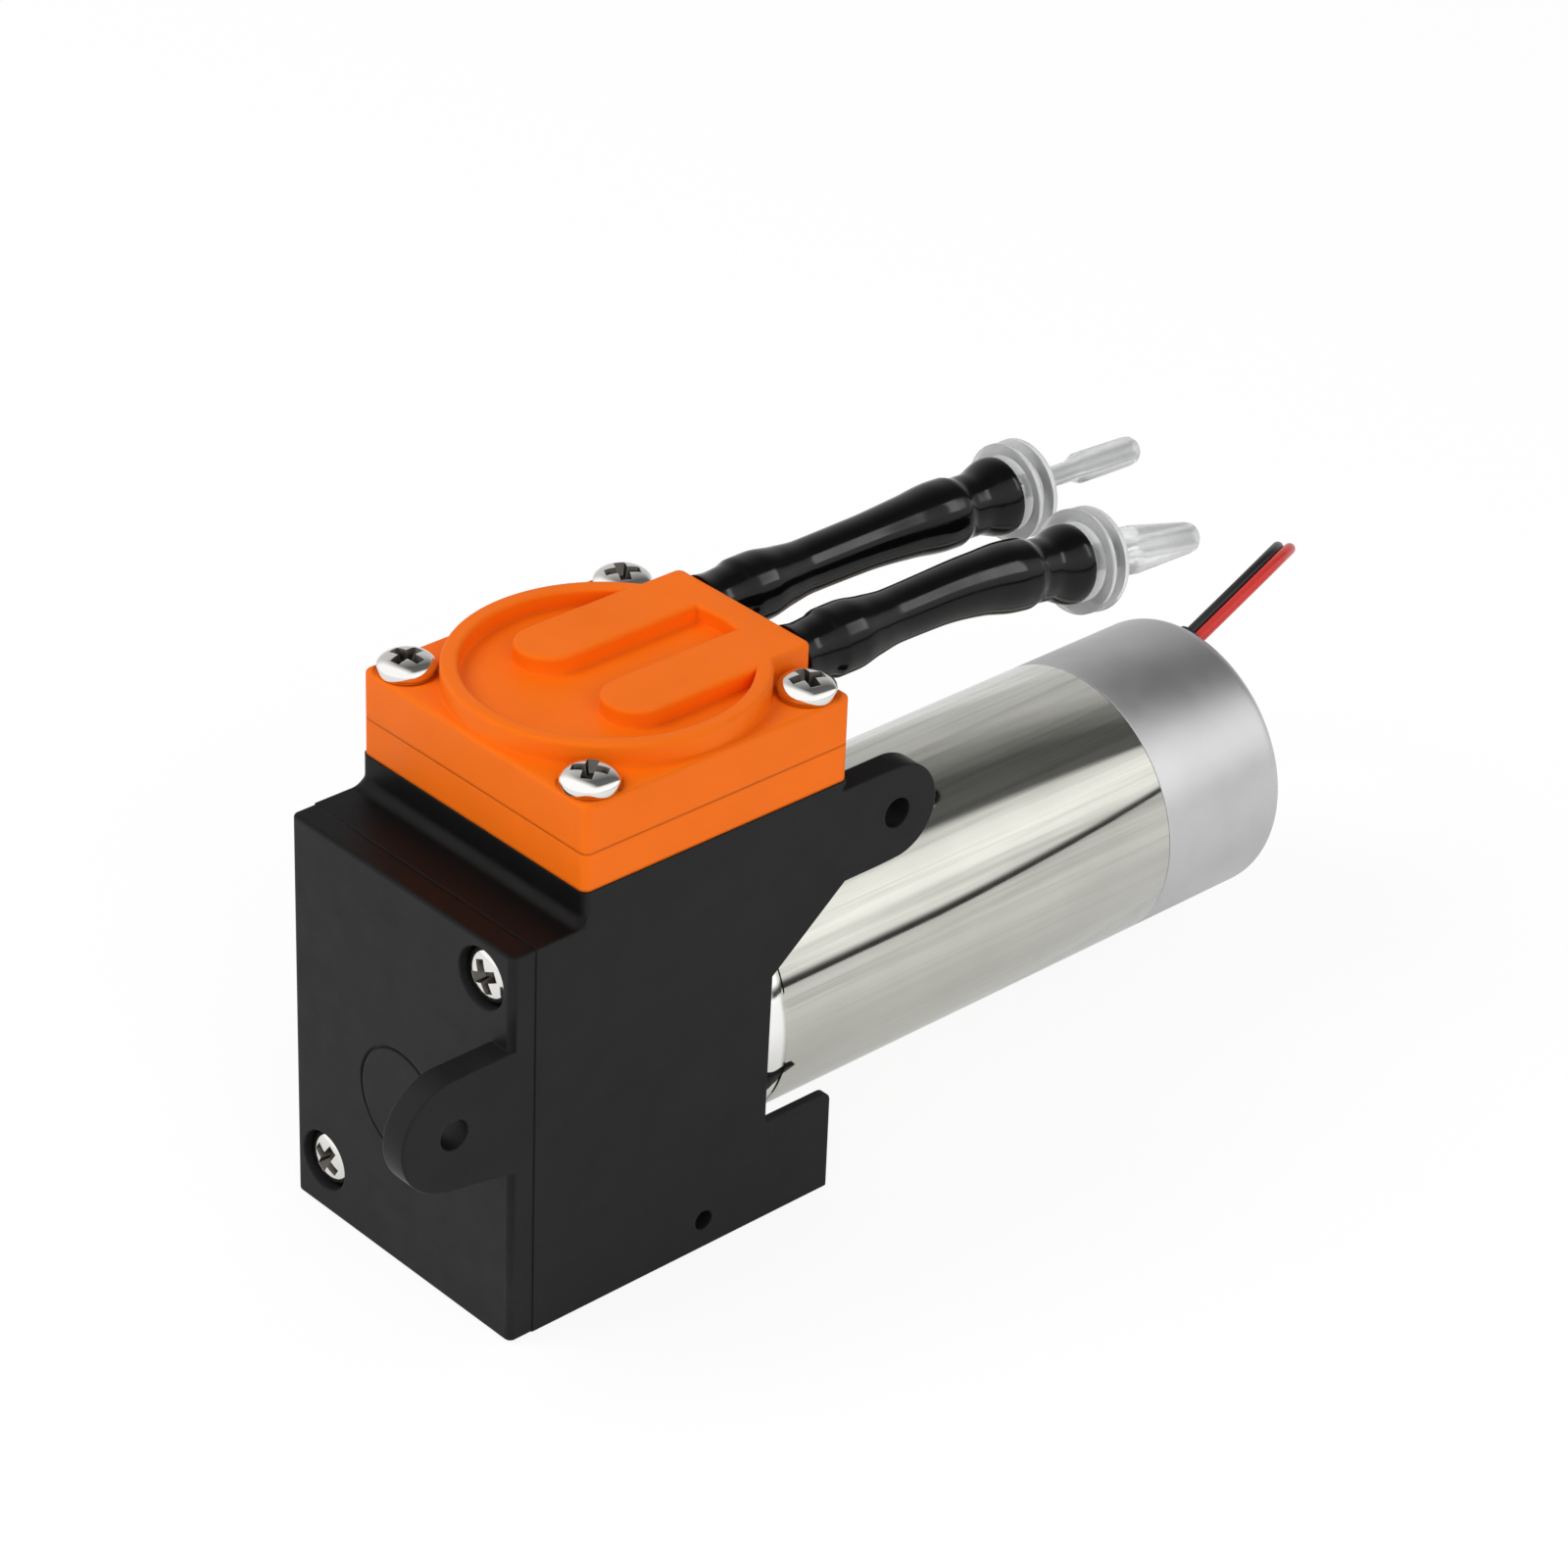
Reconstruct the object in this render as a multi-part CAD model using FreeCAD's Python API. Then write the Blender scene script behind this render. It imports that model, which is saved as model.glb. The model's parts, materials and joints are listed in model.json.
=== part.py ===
import FreeCAD, Part
import math
import os

# Small diaphragm vacuum pump driven by a long cylindrical motor, in millimetres.
# +X is the side with the two mounting ears, +Y runs along the motor, +Z is up.
# The origin is the middle of the base, straight below the centre of the head.
# The crank stands at its top dead centre.

V = FreeCAD.Vector

# Clearances
thread_gap = 0.03
running_gap = 0.04
rolling_gap = 0.06
slide_fit = 0.05
bore_gap = 0.40
swing_gap = 0.80
hose_fit = 0.03
hole_extra = 0.3
end_gap = 0.3

# Crank mechanism
throw = 1.2
rod_length = 22.4
rod_width = 6.0
rod_depth = 4.0
rod_web = 1.6
rod_ring_wall = 2.2
rod_bearing_bore = 8.0
rod_bearing_outside = 16.0
rod_bearing_width = 5.0
rod_balls = 9
rod_seat_radius = 5.4
rod_seat_thickness = 1.5
shaft_radius = 1.5
front_bearing_outside = 8.0
front_bearing_width = 4.0
front_balls = 7
ball_share = 0.25
shoulder_share = 0.62
cage_share = 0.45
cage_reach_share = 1.35
hub_shoulder = 0.8
hub_step = 0.6
balance_radius = 10.4
balance_width = 5.2
hub_radius = 5.2
hub_screw_radius = 1.25
socket_radius = 0.65
socket_depth = 1.3

# Diaphragm
hub_thickness = 2.0
web_thickness = 0.8
rim_radius = 12.3
rim_thickness = 1.6
clamp_radius = 6.0
clamp_thickness = 1.2
top_gap = 0.66
roll_dip = 1.3
roll_inset = 0.5
clamp_screw_radius = 1.25
clamp_screw_length = 8.0
clamp_head_depth = 1.0

# Motor
motor_radius = 13.9
motor_wall = 1.0
motor_front_plate = 1.2
motor_front_round = 3.4
motor_tube_length = 53.2
motor_cap_length = 16.3
motor_cap_wall = 1.3
motor_cap_round = 2.0
motor_boss_radius = 5.0
motor_boss_length = 2.2
motor_screw_spread = 8.0
ground_clearance = 3.5
bush_radius = 3.0
bush_length = 4.6
magnet_thickness = 2.9
magnet_overhang = 4.0
magnet_slot = 9.0
air_gap = 0.6
core_poles = 5
winding_overhang = 2.6
commutator_radius = 3.3
commutator_length = 5.5
segment_thickness = 0.7
segment_slot = 0.35
winding_gap = 0.15
core_end_gap = 2.4
commutator_gap = 2.5
brush_plate_thickness = 2.0
brush_width = 2.4
brush_length = 2.7
brush_leaf = 0.3
terminal_length = 5.4
terminal_drop = 8.0
terminal_width = 3.0
leaf_rise = 1.6
brush_reach = 1.0

# Housing
side_wall = 3.1
base_wall = 2.6
rear_wall = 3.0
rear_gap = 1.3
front_depth = 20.6
shelf_drop = 3.33
shelf_wall = 3.1
shelf_round = 1.2
overhang_floor = 1.6
motor_top_gap = 1.7
gusset_drop = 6.8
corner_round = 0.8
inner_round = 2.0
diaphragm_bore = 10.6
screw_boss_radius = 3.1
screw_boss_length = 9.0
side_hole_radius = 1.0
side_hole_y = -0.48
side_hole_z = 3.03
side_hole_depth = 2.4

# Ears and foot lug, on the +X side only
ear_thickness = 2.7
ear_hole_radius = 1.5
rear_ear_radius = 4.8
rear_ear_reach = 6.1
rear_ear_drop = 5.84
front_ear_radius = 5.65
front_ear_reach = 6.22
front_ear_rise = 7.76
front_ear_root = 7.3
lug_length = 7.85
lug_thickness = 0.8
lug_height = 10.67
lug_round = 1.0

# Front cover
cover_thickness = 2.58
cover_edge = 0.35
cover_screw_inset = 4.1
cover_screw_low = 5.3
cover_screw_drop = 3.9
cover_screw_length = 8.0
small_head_radius = 2.5
small_head_height = 1.4
small_pit_radius = 2.95
small_pit_depth = 1.75
small_shank_radius = 1.25
witness_groove = 0.3
witness_depth = 0.2
boss_wall = 1.5
seat_floor = 1.6
race_relief = 0.3
race_relief_wall = 0.9

# Head
head_step = 0.1
crown_step = 0.6
crown_wall = 1.6
plate_thickness = 3.71
flange_thickness = 4.8
crown_height = 2.13
dish_depth = 1.75
edge_round = 0.4
port_spacing = 11.8
rib_half_width = 3.2
rib_front = -4.9
block_half_width = 8.9
block_rear = 16.2
block_front = 13.0
block_base = 0.6
port_height = 4.0
channel_radius = 1.1
head_screw_inset = 2.9
head_screw_radius = 1.5
head_screw_length = 13.4
head_screw_hole = 1.65
head_screw_head = 2.7
head_screw_head_height = 2.0
head_screw_pit = 2.9
head_screw_pit_depth = 0.1
chamber_radius = 7.8
chamber_depth = 0.95
valve_radius = 2.8
valve_thickness = 0.8
valve_lift = 0.45
valve_room = 0.35
valve_hole_radius = 0.5
valve_hole_circle = 1.5
seal_radius = 4.2
seal_section = 0.48

# Hoses and clear adapters
barb_radius = 1.9
barb_ridge = 2.4
barb_length = 7.6
ridge_place = 0.55
hose_straight = 17.0
hose_grip = 9.5
hose_bore = 1.3
hose_block_radius = 3.12
hose_waist_radius = 2.9
hose_bulge_radius = 3.32
hose_middle_radius = 2.58
hose_sleeve_radius = 3.4
hose_groove_radius = 3.02
hose_mouth_radius = 3.85
hose_collar = 1.6
hose_bulge_foot = 3.4
hose_bulge_start = 4.6
hose_bulge_end = 6.6
hose_waist_start = 9.4
hose_middle_start = 12.5
hose_middle_end = 18.0
hose_sleeve_foot = 12.0
hose_sleeve_start = 7.8
hose_sleeve_end = 6.6
hose_groove_start = 5.2
hose_groove_end = 3.6
hose_mouth_start = 0.3
hose_swell = 0.1
left_hose_length = 37.2
right_hose_length = 35.0
left_hose_slope = 0.05
right_hose_slope = 0.165
adapter_bore = 0.6
adapter_root = 2.7
adapter_cone = 3.5
ridge_foot = 6.7
ridge_back = 7.0
ridge_front = 7.3
ridge_lead = 1.9
ridge_drop = 0.3
adapter_core = 0.76
left_flange_radius = 4.8
right_flange_radius = 5.0
left_flange_gap = 1.3
right_flange_gap = 1.1
flange_edge = 0.6
flange_start = 0.9
left_neck_radius = 1.0
left_neck_length = 7.4
left_nozzle_radius = 1.3
left_nozzle_start = 7.8
left_nozzle_end = 14.2
left_tip_length = 15.0
right_neck_radius = 1.1
right_neck_length = 4.6
right_barb_radius = 1.95
right_barb_start = 4.9
right_barb_end = 6.2
right_taper_end = 13.4
right_taper_radius = 1.25
right_tip_length = 13.9
tip_radius = 0.95

# Lead
lead_width = 2.4
lead_exit_x = -1.9
lead_exit_rise = 10.05
lead_tilt = 25.0
lead_first_run = 8.7
gland_flange = 2.25
gland_lip = 0.6
gland_wall = 0.35
gland_neck = 0.7
gland_height = 0.8
gland_nozzle = 1.1
coil_x = -27.0
coil_y = 62.0
coil_radius = 13.0
coil_turns_apart = 2.5
coil_turns = 2
coil_edge = 0.4

# Levels and places worked out from the sizes above
shaft_z = motor_radius + ground_clearance
crank_z = shaft_z + throw
rod_ring_radius = rod_bearing_outside / 2 + rod_ring_wall
half_width = rod_ring_radius + throw + swing_gap + side_wall
overhang_depth = half_width
head_half = half_width - head_step
crown_radius = head_half - crown_step
dish_radius = crown_radius - crown_wall
head_screw_spread = half_width - head_screw_inset
cover_screw_x = half_width - cover_screw_inset
chamber_half = half_width - side_wall
seat_z = crank_z + rod_length
hub_top_z = seat_z + hub_thickness
head_z = hub_top_z + top_gap
shelf_z = head_z - shelf_drop
chamber_top_z = shelf_z - shelf_wall
plate_top_z = head_z + plate_thickness
flange_z = plate_top_z + flange_thickness
crown_z = flange_z + crown_height
dish_z = crown_z - dish_depth
port_z = plate_top_z + port_height
wall_front_y = rod_bearing_width / 2 + rear_gap
rear_y = wall_front_y + rear_wall
seam_y = -front_depth
face_y = seam_y - cover_thickness
tube_end_y = rear_y + motor_tube_length
cap_end_y = tube_end_y + motor_cap_length
overhang_z = shaft_z + motor_radius + motor_top_gap
gusset_z = overhang_z - gusset_drop
rear_ear_y = overhang_depth + rear_ear_reach
rear_ear_z = head_z - rear_ear_drop
bearing_seat_y = seam_y - cover_thickness + seat_floor
bearing_front_end_y = bearing_seat_y + front_bearing_width
port_x = port_spacing / 2
front_ear_y = face_y - front_ear_reach
front_ear_z = shaft_z + front_ear_rise
lug_end_y = rear_y + lug_length
boss_radius = front_bearing_outside / 2 + boss_wall


def box(x0, x1, y0, y1, z0, z1):
    return Part.makeBox(x1 - x0, y1 - y0, z1 - z0, V(x0, y0, z0))


def bar_x(radius, x0, x1, y, z):
    return Part.makeCylinder(radius, x1 - x0, V(x0, y, z), V(1, 0, 0))


def bar_y(radius, y0, y1, x=0.0, z=shaft_z):
    return Part.makeCylinder(radius, y1 - y0, V(x, y0, z), V(0, 1, 0))


def bar_z(radius, z0, z1, x=0.0, y=0.0):
    return Part.makeCylinder(radius, z1 - z0, V(x, y, z0), V(0, 0, 1))


def ring_y(outer, inner, y0, y1, x=0.0, z=shaft_z):
    return bar_y(outer, y0, y1, x, z).cut(bar_y(inner, y0 - 1, y1 + 1, x, z))


def prism_x(outline, x0, x1):
    """Extrude a closed outline of (y, z) points from x0 to x1."""
    corners = [V(x0, y, z) for y, z in outline]
    face = Part.Face(Part.makePolygon(corners + corners[:1]))
    return face.extrude(V(x1 - x0, 0, 0))


def turned_y(profile, x=0.0, z=shaft_z):
    """Turn a closed profile of (y, radius) points about an axis along Y."""
    corners = [V(x, y, z + r) for y, r in profile]
    face = Part.Face(Part.makePolygon(corners + corners[:1]))
    return face.revolve(V(x, 0, z), V(0, 1, 0), 360)


def turned_z(profile, x=0.0, y=0.0):
    """Turn a closed profile of (radius, z) points about an axis along Z."""
    corners = [V(x + r, y, z) for r, z in profile]
    face = Part.Face(Part.makePolygon(corners + corners[:1]))
    return face.revolve(V(x, y, 0), V(0, 0, 1), 360)


def joined(shapes):
    """Fuse shapes into one solid without seams between coplanar faces."""
    return shapes[0].fuse(shapes[1:]).removeSplitter()


def bored(shape, tools):
    for tool in tools:
        shape = shape.cut(tool)
    return shape


def rounded(shape, radius, chosen):
    """Fillet the edges whose bounding box passes the test."""
    edges = [edge for edge in shape.Edges if chosen(edge.BoundBox)]
    return shape.makeFillet(radius, edges)


def upright(bounds):
    return bounds.ZLength > 1 and bounds.XLength < 0.01 and bounds.YLength < 0.01


def at_level(z, slack=0.01):
    return lambda b: abs(b.ZMin - z) < slack and abs(b.ZMax - z) < slack


def rounded_box(half_x, half_y, z0, z1, radius):
    return rounded(box(-half_x, half_x, -half_y, half_y, z0, z1), radius, upright)


def as_one(solids):
    return Part.makeCompound(solids)


def tangent_point(centre, radius, outside, side):
    """Point where the line from an outside point touches a circle."""
    dy = outside[0] - centre[0]
    dz = outside[1] - centre[1]
    reach = math.hypot(dy, dz)
    angle = math.atan2(dz, dy) + side * math.acos(radius / reach)
    return (centre[0] + radius * math.cos(angle), centre[1] + radius * math.sin(angle))


def head_screw_places():
    spread = head_screw_spread
    return [(sx * spread, sy * spread) for sx in (-1, 1) for sy in (-1, 1)]


def cover_screw_places():
    high = shelf_z - cover_screw_drop
    return [(cover_screw_x, high), (-cover_screw_x, cover_screw_low)]


def crossed_slots(radius, depth):
    """Cutting tool for a cross recess, pointing down from the origin."""
    arm = radius * 0.52
    blade = radius * 0.13
    one = box(-arm, arm, -blade, blade, -depth, 1)
    two = box(-blade, blade, -arm, arm, -depth, 1)
    return one.fuse(two)


def pan_screw(head_radius, head_height, shank_radius, length):
    """Pan head screw that stands on the origin with its shank along -Z."""
    crown = head_height * 0.45
    profile = [(0, 0), (head_radius, 0), (head_radius, head_height - crown)]
    for step in range(1, 5):
        angle = math.radians(90 - 18 * step)
        shoulder = head_radius * (0.45 + 0.55 * math.sin(angle))
        profile.append((shoulder, head_height - crown + crown * math.cos(angle)))
    profile.append((0, head_height))
    head = turned_z(profile)
    shank = bar_z(shank_radius, -length, 0)
    screw = joined([head, shank])
    slots = crossed_slots(head_radius, head_height * 0.6)
    slots.translate(V(0, 0, head_height))
    return screw.cut(slots)


def pump_housing():
    lower = box(-half_width, half_width, seam_y, rear_y, 0, shelf_z)
    upper = rounded_box(half_width, overhang_depth, overhang_z, head_z, corner_round)
    web = [(rear_y, gusset_z), (overhang_depth, overhang_z), (rear_y, overhang_z)]
    inner_x = half_width - ear_thickness
    left_web = prism_x(web, -half_width, -inner_x)
    right_web = prism_x(web, inner_x, half_width)
    ear_root = box(inner_x, half_width, overhang_depth - corner_round, rear_ear_y,
                   rear_ear_z - rear_ear_radius, rear_ear_z + rear_ear_radius)
    ear_end = bar_x(rear_ear_radius, inner_x, half_width, rear_ear_y, rear_ear_z)
    lug = box(half_width - lug_thickness, half_width, rear_y, lug_end_y, 0, lug_height)
    lug = rounded(lug, lug_round, lambda b: b.XLength > lug_thickness / 2 and b.YMin > lug_end_y - 0.01
                  and b.ZMin > lug_height - 0.01)
    body = joined([lower, upper, left_web, right_web, ear_root, ear_end, lug])
    front_wall_y = -overhang_depth
    body = rounded(body, shelf_round, lambda b: b.XLength > half_width
                   and abs(b.YMin - front_wall_y) < 0.01 and abs(b.ZMin - shelf_z) < 0.01
                   and b.YLength < 0.01 and b.ZLength < 0.01)
    chamber = box(-chamber_half, chamber_half, seam_y - 1, wall_front_y,
                  base_wall, chamber_top_z)
    chamber = rounded(chamber, inner_round, lambda b: b.YLength > front_depth)
    body = body.cut(chamber)
    bosses = []
    for x, z in cover_screw_places():
        boss = bar_y(screw_boss_radius, seam_y, seam_y + screw_boss_length, x, z)
        bosses.append(boss.common(box(-half_width, half_width, seam_y, rear_y, 0, shelf_z)))
    body = joined([body] + bosses)
    tools = [bar_z(diaphragm_bore, overhang_z + overhang_floor, head_z + 1),
             bar_z(rim_radius + slide_fit, head_z - rim_thickness, head_z + 1),
             bar_y(motor_boss_radius + slide_fit, wall_front_y - 1, rear_y + 1),
             bar_x(ear_hole_radius, inner_x - 1, half_width + 1, rear_ear_y, rear_ear_z),
             bar_x(side_hole_radius, half_width - side_hole_depth, half_width + 1,
                   side_hole_y, side_hole_z)]
    hole_depth = cover_screw_length - cover_thickness + small_pit_depth + hole_extra
    for x, z in cover_screw_places():
        tools.append(bar_y(small_shank_radius + thread_gap, seam_y - 1,
                           seam_y + hole_depth, x, z))
    screw_tip_z = flange_z - head_screw_pit_depth - head_screw_length
    for x, y in head_screw_places():
        tools.append(bar_z(head_screw_radius + thread_gap, screw_tip_z - hole_extra,
                           head_z + 1, x, y))
    for side in (-1, 1):
        x = side * motor_screw_spread
        tools.append(bar_y(small_shank_radius + thread_gap, wall_front_y - 1, rear_y + 1, x))
        tools.append(turned_y(countersink(slide_fit), x))
    return bored(body, tools)


def countersink(gap=0.0):
    """Profile of a flush screw head in the wall between crank and motor."""
    wide = small_head_radius + gap
    narrow = small_shank_radius + gap
    return [(wall_front_y - gap, 0), (wall_front_y - gap, wide),
            (wall_front_y + wide - narrow, narrow), (wall_front_y + wide - narrow, 0)]


def motor_screws():
    screws = []
    tip_y = rear_y + motor_front_plate + 1.0
    for side in (-1, 1):
        x = side * motor_screw_spread
        head = turned_y(countersink(), x)
        shank = bar_y(small_shank_radius, wall_front_y + 0.5, tip_y, x)
        slots = crossed_slots(small_head_radius, 0.8)
        slots.rotate(V(0, 0, 0), V(1, 0, 0), 90)
        slots.translate(V(x, wall_front_y, shaft_z))
        screws.append(joined([head, shank]).cut(slots))
    return as_one(screws)


def front_cover():
    plate = box(-half_width, half_width, face_y, seam_y, 0, shelf_z)
    plate = rounded(plate, cover_edge * 2, lambda b: upright(b) and b.YMin < seam_y - 0.1)
    plate = rounded(plate, cover_edge, lambda b: b.YMax < face_y + cover_edge
                    and b.XLength > half_width)
    inner_x = half_width - ear_thickness
    centre = (front_ear_y, front_ear_z)
    root = (seam_y - cover_edge, front_ear_z - front_ear_root)
    touch = tangent_point(centre, front_ear_radius, root, -1)
    top_z = front_ear_z + front_ear_radius
    outline = [(front_ear_y, top_z), (root[0], top_z), root, touch, centre]
    ear = prism_x(outline, inner_x, half_width)
    ear_end = bar_x(front_ear_radius, inner_x, half_width, front_ear_y, front_ear_z)
    boss = bar_y(boss_radius, seam_y, bearing_front_end_y)
    body = joined([plate, ear, ear_end, boss])
    relief = front_bearing_outside / 2 - race_relief_wall
    tools = [bar_y(front_bearing_outside / 2, bearing_seat_y, bearing_front_end_y + 1),
             bar_y(relief, bearing_seat_y - race_relief, bearing_seat_y + 1),
             ring_y(boss_radius + witness_groove / 2, boss_radius - witness_groove / 2,
                    face_y - 1, face_y + witness_depth),
             bar_x(ear_hole_radius, inner_x - 1, half_width + 1, front_ear_y, front_ear_z)]
    for x, z in cover_screw_places():
        tools.append(bar_y(small_pit_radius, face_y - 1, face_y + small_pit_depth, x, z))
        tools.append(bar_y(small_shank_radius + slide_fit * 2, face_y - 1, seam_y + 1, x, z))
    return bored(body, tools)


def cover_screws():
    screws = []
    for x, z in cover_screw_places():
        screw = pan_screw(small_head_radius, small_head_height, small_shank_radius,
                          cover_screw_length)
        screw.rotate(V(0, 0, 0), V(1, 0, 0), 90)
        screw.translate(V(x, face_y + small_pit_depth, z))
        screws.append(screw)
    return as_one(screws)


def head_screws():
    screws = []
    for x, y in head_screw_places():
        screw = pan_screw(head_screw_head, head_screw_head_height, head_screw_radius,
                          head_screw_length)
        screw.rotate(V(0, 0, 0), V(0, 0, 1), 25 * x / head_screw_spread + 10)
        screw.translate(V(x, y, flange_z - head_screw_pit_depth))
        screws.append(screw)
    return as_one(screws)


def valve_holes(x):
    holes = []
    for turn in range(4):
        angle = math.radians(45 + 90 * turn)
        holes.append(bar_z(valve_hole_radius, head_z - 1, plate_top_z + 1,
                           x + valve_hole_circle * math.cos(angle),
                           valve_hole_circle * math.sin(angle)))
    return holes


def valve_plate():
    body = rounded_box(head_half, head_half, head_z, plate_top_z, corner_round)
    roof_z = head_z + chamber_depth
    recess = turned_z([(0, head_z - 1), (diaphragm_bore, head_z - 1),
                       (diaphragm_bore - slide_fit, head_z), (chamber_radius, roof_z),
                       (0, roof_z)])
    pocket_z = plate_top_z - valve_thickness - valve_lift - valve_room / 2
    tools = [recess, bar_z(valve_radius + valve_room, pocket_z, plate_top_z + 1, port_x)]
    tools += valve_holes(port_x) + valve_holes(-port_x)
    for x in (-port_x, port_x):
        outer = bar_z(seal_radius + seal_section, plate_top_z - 2 * seal_section,
                      plate_top_z + 1, x)
        inner = bar_z(seal_radius - seal_section, plate_top_z - 2, plate_top_z + 2, x)
        tools.append(outer.cut(inner))
    for x, y in head_screw_places():
        tools.append(bar_z(head_screw_hole, head_z - 1, plate_top_z + 1, x, y))
    return bored(body, tools)


def valve_seals():
    rings = []
    for x in (-port_x, port_x):
        rings.append(Part.makeTorus(seal_radius, seal_section - slide_fit / 2,
                                    V(x, 0, plate_top_z - seal_section)))
    return as_one(rings)


def inlet_valve():
    top = plate_top_z - slide_fit
    return bar_z(valve_radius, top - valve_thickness, top, port_x)


def outlet_valve():
    bottom = plate_top_z + slide_fit
    return bar_z(valve_radius, bottom, bottom + valve_thickness, -port_x)


def barb(x):
    """Hose barb on the rear face of the port block."""
    y = block_rear
    ridge = y + barb_length * ridge_place
    profile = [(y - 1, 0), (y - 1, barb_radius), (ridge - ridge_drop, barb_radius),
               (ridge, barb_ridge), (y + barb_length, barb_radius - ridge_drop),
               (y + barb_length, 0)]
    return turned_y(profile, x, port_z)


def head_cover():
    slab = rounded_box(head_half, head_half, plate_top_z, flange_z, corner_round)
    slab = rounded(slab, edge_round, at_level(flange_z))
    crown = bar_z(crown_radius, flange_z - 1, crown_z)
    block = box(-block_half_width, block_half_width, 0, block_rear,
                plate_top_z + block_base, crown_z)
    block = rounded(block, corner_round, lambda b: upright(b) and b.YMin > block_front)
    dish = bar_z(dish_radius, dish_z, crown_z + 1)
    keep = [box(-block_half_width, block_half_width, block_front, block_rear,
                dish_z - 1, crown_z + 2)]
    for x in (-port_x, port_x):
        keep.append(box(x - rib_half_width, x + rib_half_width, rib_front + rib_half_width,
                        block_rear, dish_z - 1, crown_z + 2))
        keep.append(bar_z(rib_half_width, dish_z - 1, crown_z + 2, x,
                          rib_front + rib_half_width))
    dish = bored(dish, keep)
    body = joined([slab, crown, block]).cut(dish).removeSplitter()
    body = rounded(body, edge_round, at_level(crown_z))
    body = joined([body, barb(-port_x), barb(port_x)])
    tools = []
    for x in (-port_x, port_x):
        tools.append(bar_y(channel_radius, -channel_radius, block_rear + barb_length + 1,
                           x, port_z))
        tools.append(bar_z(channel_radius, plate_top_z - 1, port_z, x, 0))
    pocket_top = plate_top_z + valve_thickness + valve_lift + valve_room / 2
    tools.append(bar_z(valve_radius + valve_room, plate_top_z - 1, pocket_top, -port_x))
    for x, y in head_screw_places():
        tools.append(bar_z(head_screw_hole, plate_top_z - 1, crown_z + 1, x, y))
        tools.append(bar_z(head_screw_pit, flange_z - head_screw_pit_depth, crown_z + 1, x, y))
    return bored(body, tools)


def diaphragm():
    inner = clamp_screw_radius + slide_fit
    mid_z = (seat_z + hub_top_z) / 2
    roll_in = clamp_radius + roll_inset
    roll_out = diaphragm_bore - roll_inset
    roll_mid = (roll_in + roll_out) / 2
    half = web_thickness / 2
    rim_z = head_z - rim_thickness
    outline = [(inner, seat_z + slide_fit), (rod_seat_radius, seat_z + slide_fit),
               (roll_in, mid_z - half), (roll_mid, mid_z - half - roll_dip),
               (roll_out, mid_z - half), (diaphragm_bore, rim_z), (rim_radius, rim_z),
               (rim_radius, head_z), (diaphragm_bore, head_z), (roll_out, mid_z + half),
               (roll_mid, mid_z + half - roll_dip), (roll_in, mid_z + half),
               (rod_seat_radius, hub_top_z - slide_fit), (inner, hub_top_z - slide_fit)]
    return turned_z(outline)


def connecting_rod():
    half = rod_bearing_width / 2
    ring = ring_y(rod_ring_radius, rod_bearing_outside / 2, -half, half, 0, crank_z)
    ring = rounded(ring, 0.4, lambda b: b.XLength > 2 * rod_ring_radius - 0.01
                   and b.YLength < 0.01)
    stem_foot = crank_z + rod_ring_radius - rod_ring_wall / 2
    stem_top = seat_z - rod_seat_thickness
    stem = box(-rod_width / 2, rod_width / 2, -rod_depth / 2, rod_depth / 2,
               stem_foot, stem_top + 0.2)
    waist = (rod_depth - rod_web) / 2
    pocket_low = crank_z + rod_ring_radius + 1.2
    pocket_high = stem_top - 1.5
    inset = rod_width / 2 - 1.3
    pockets = []
    for y0, y1 in ((-rod_depth, -rod_depth / 2 + waist), (rod_depth / 2 - waist, rod_depth)):
        pocket = box(-inset, inset, y0, y1, pocket_low, pocket_high)
        pockets.append(rounded(pocket, 0.6, lambda b: b.YLength > waist - 0.01
                               and b.XLength < 0.01))
    seat = turned_z([(0, stem_top - 1.2), (rod_width / 2, stem_top - 1.2),
                     (rod_seat_radius, stem_top), (rod_seat_radius, seat_z), (0, seat_z)])
    body = joined([ring, bored(stem, pockets), seat])
    screw_hole = bar_z(clamp_screw_radius + thread_gap,
                       hub_top_z + clamp_thickness - clamp_screw_length - hole_extra,
                       seat_z + 1)
    return body.cut(screw_hole)


def clamp_head(gap=0.0):
    """Countersunk head of the screw that holds the diaphragm."""
    top = hub_top_z + clamp_thickness
    wide = clamp_screw_radius + clamp_head_depth + gap
    narrow = clamp_screw_radius + gap
    low = top - clamp_head_depth
    return [(0, top + gap), (wide, top + gap), (narrow, low), (0, low)]


def clamp_plate():
    plate = bar_z(clamp_radius, hub_top_z, hub_top_z + clamp_thickness)
    plate = rounded(plate, 0.4, lambda b: at_level(hub_top_z + clamp_thickness)(b)
                    and b.XLength > clamp_radius)
    return bored(plate, [bar_z(clamp_screw_radius + thread_gap, seat_z, head_z + 5),
                         turned_z(clamp_head(thread_gap))])


def clamp_screw():
    top = hub_top_z + clamp_thickness
    shank = bar_z(clamp_screw_radius, top - clamp_screw_length, top - 0.5)
    slots = crossed_slots(clamp_screw_radius * 1.8, 0.7)
    slots.translate(V(0, 0, top))
    return joined([turned_z(clamp_head()), shank]).cut(slots)


def bearing_sizes(bore, outside, width):
    """Radii and ball size of a deep groove bearing, from its outline sizes."""
    inner = bore / 2
    outer = outside / 2
    pitch = (inner + outer) / 2
    ball = (outer - inner) * ball_share
    shoulder = ball * shoulder_share
    return {"inner": inner, "outer": outer, "pitch": pitch, "ball": ball,
            "half": width / 2, "shoulder": shoulder}


def race_groove(b, y, z):
    return Part.makeTorus(b["pitch"], b["ball"] + rolling_gap, V(0, y, z), V(0, 1, 0))


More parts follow.
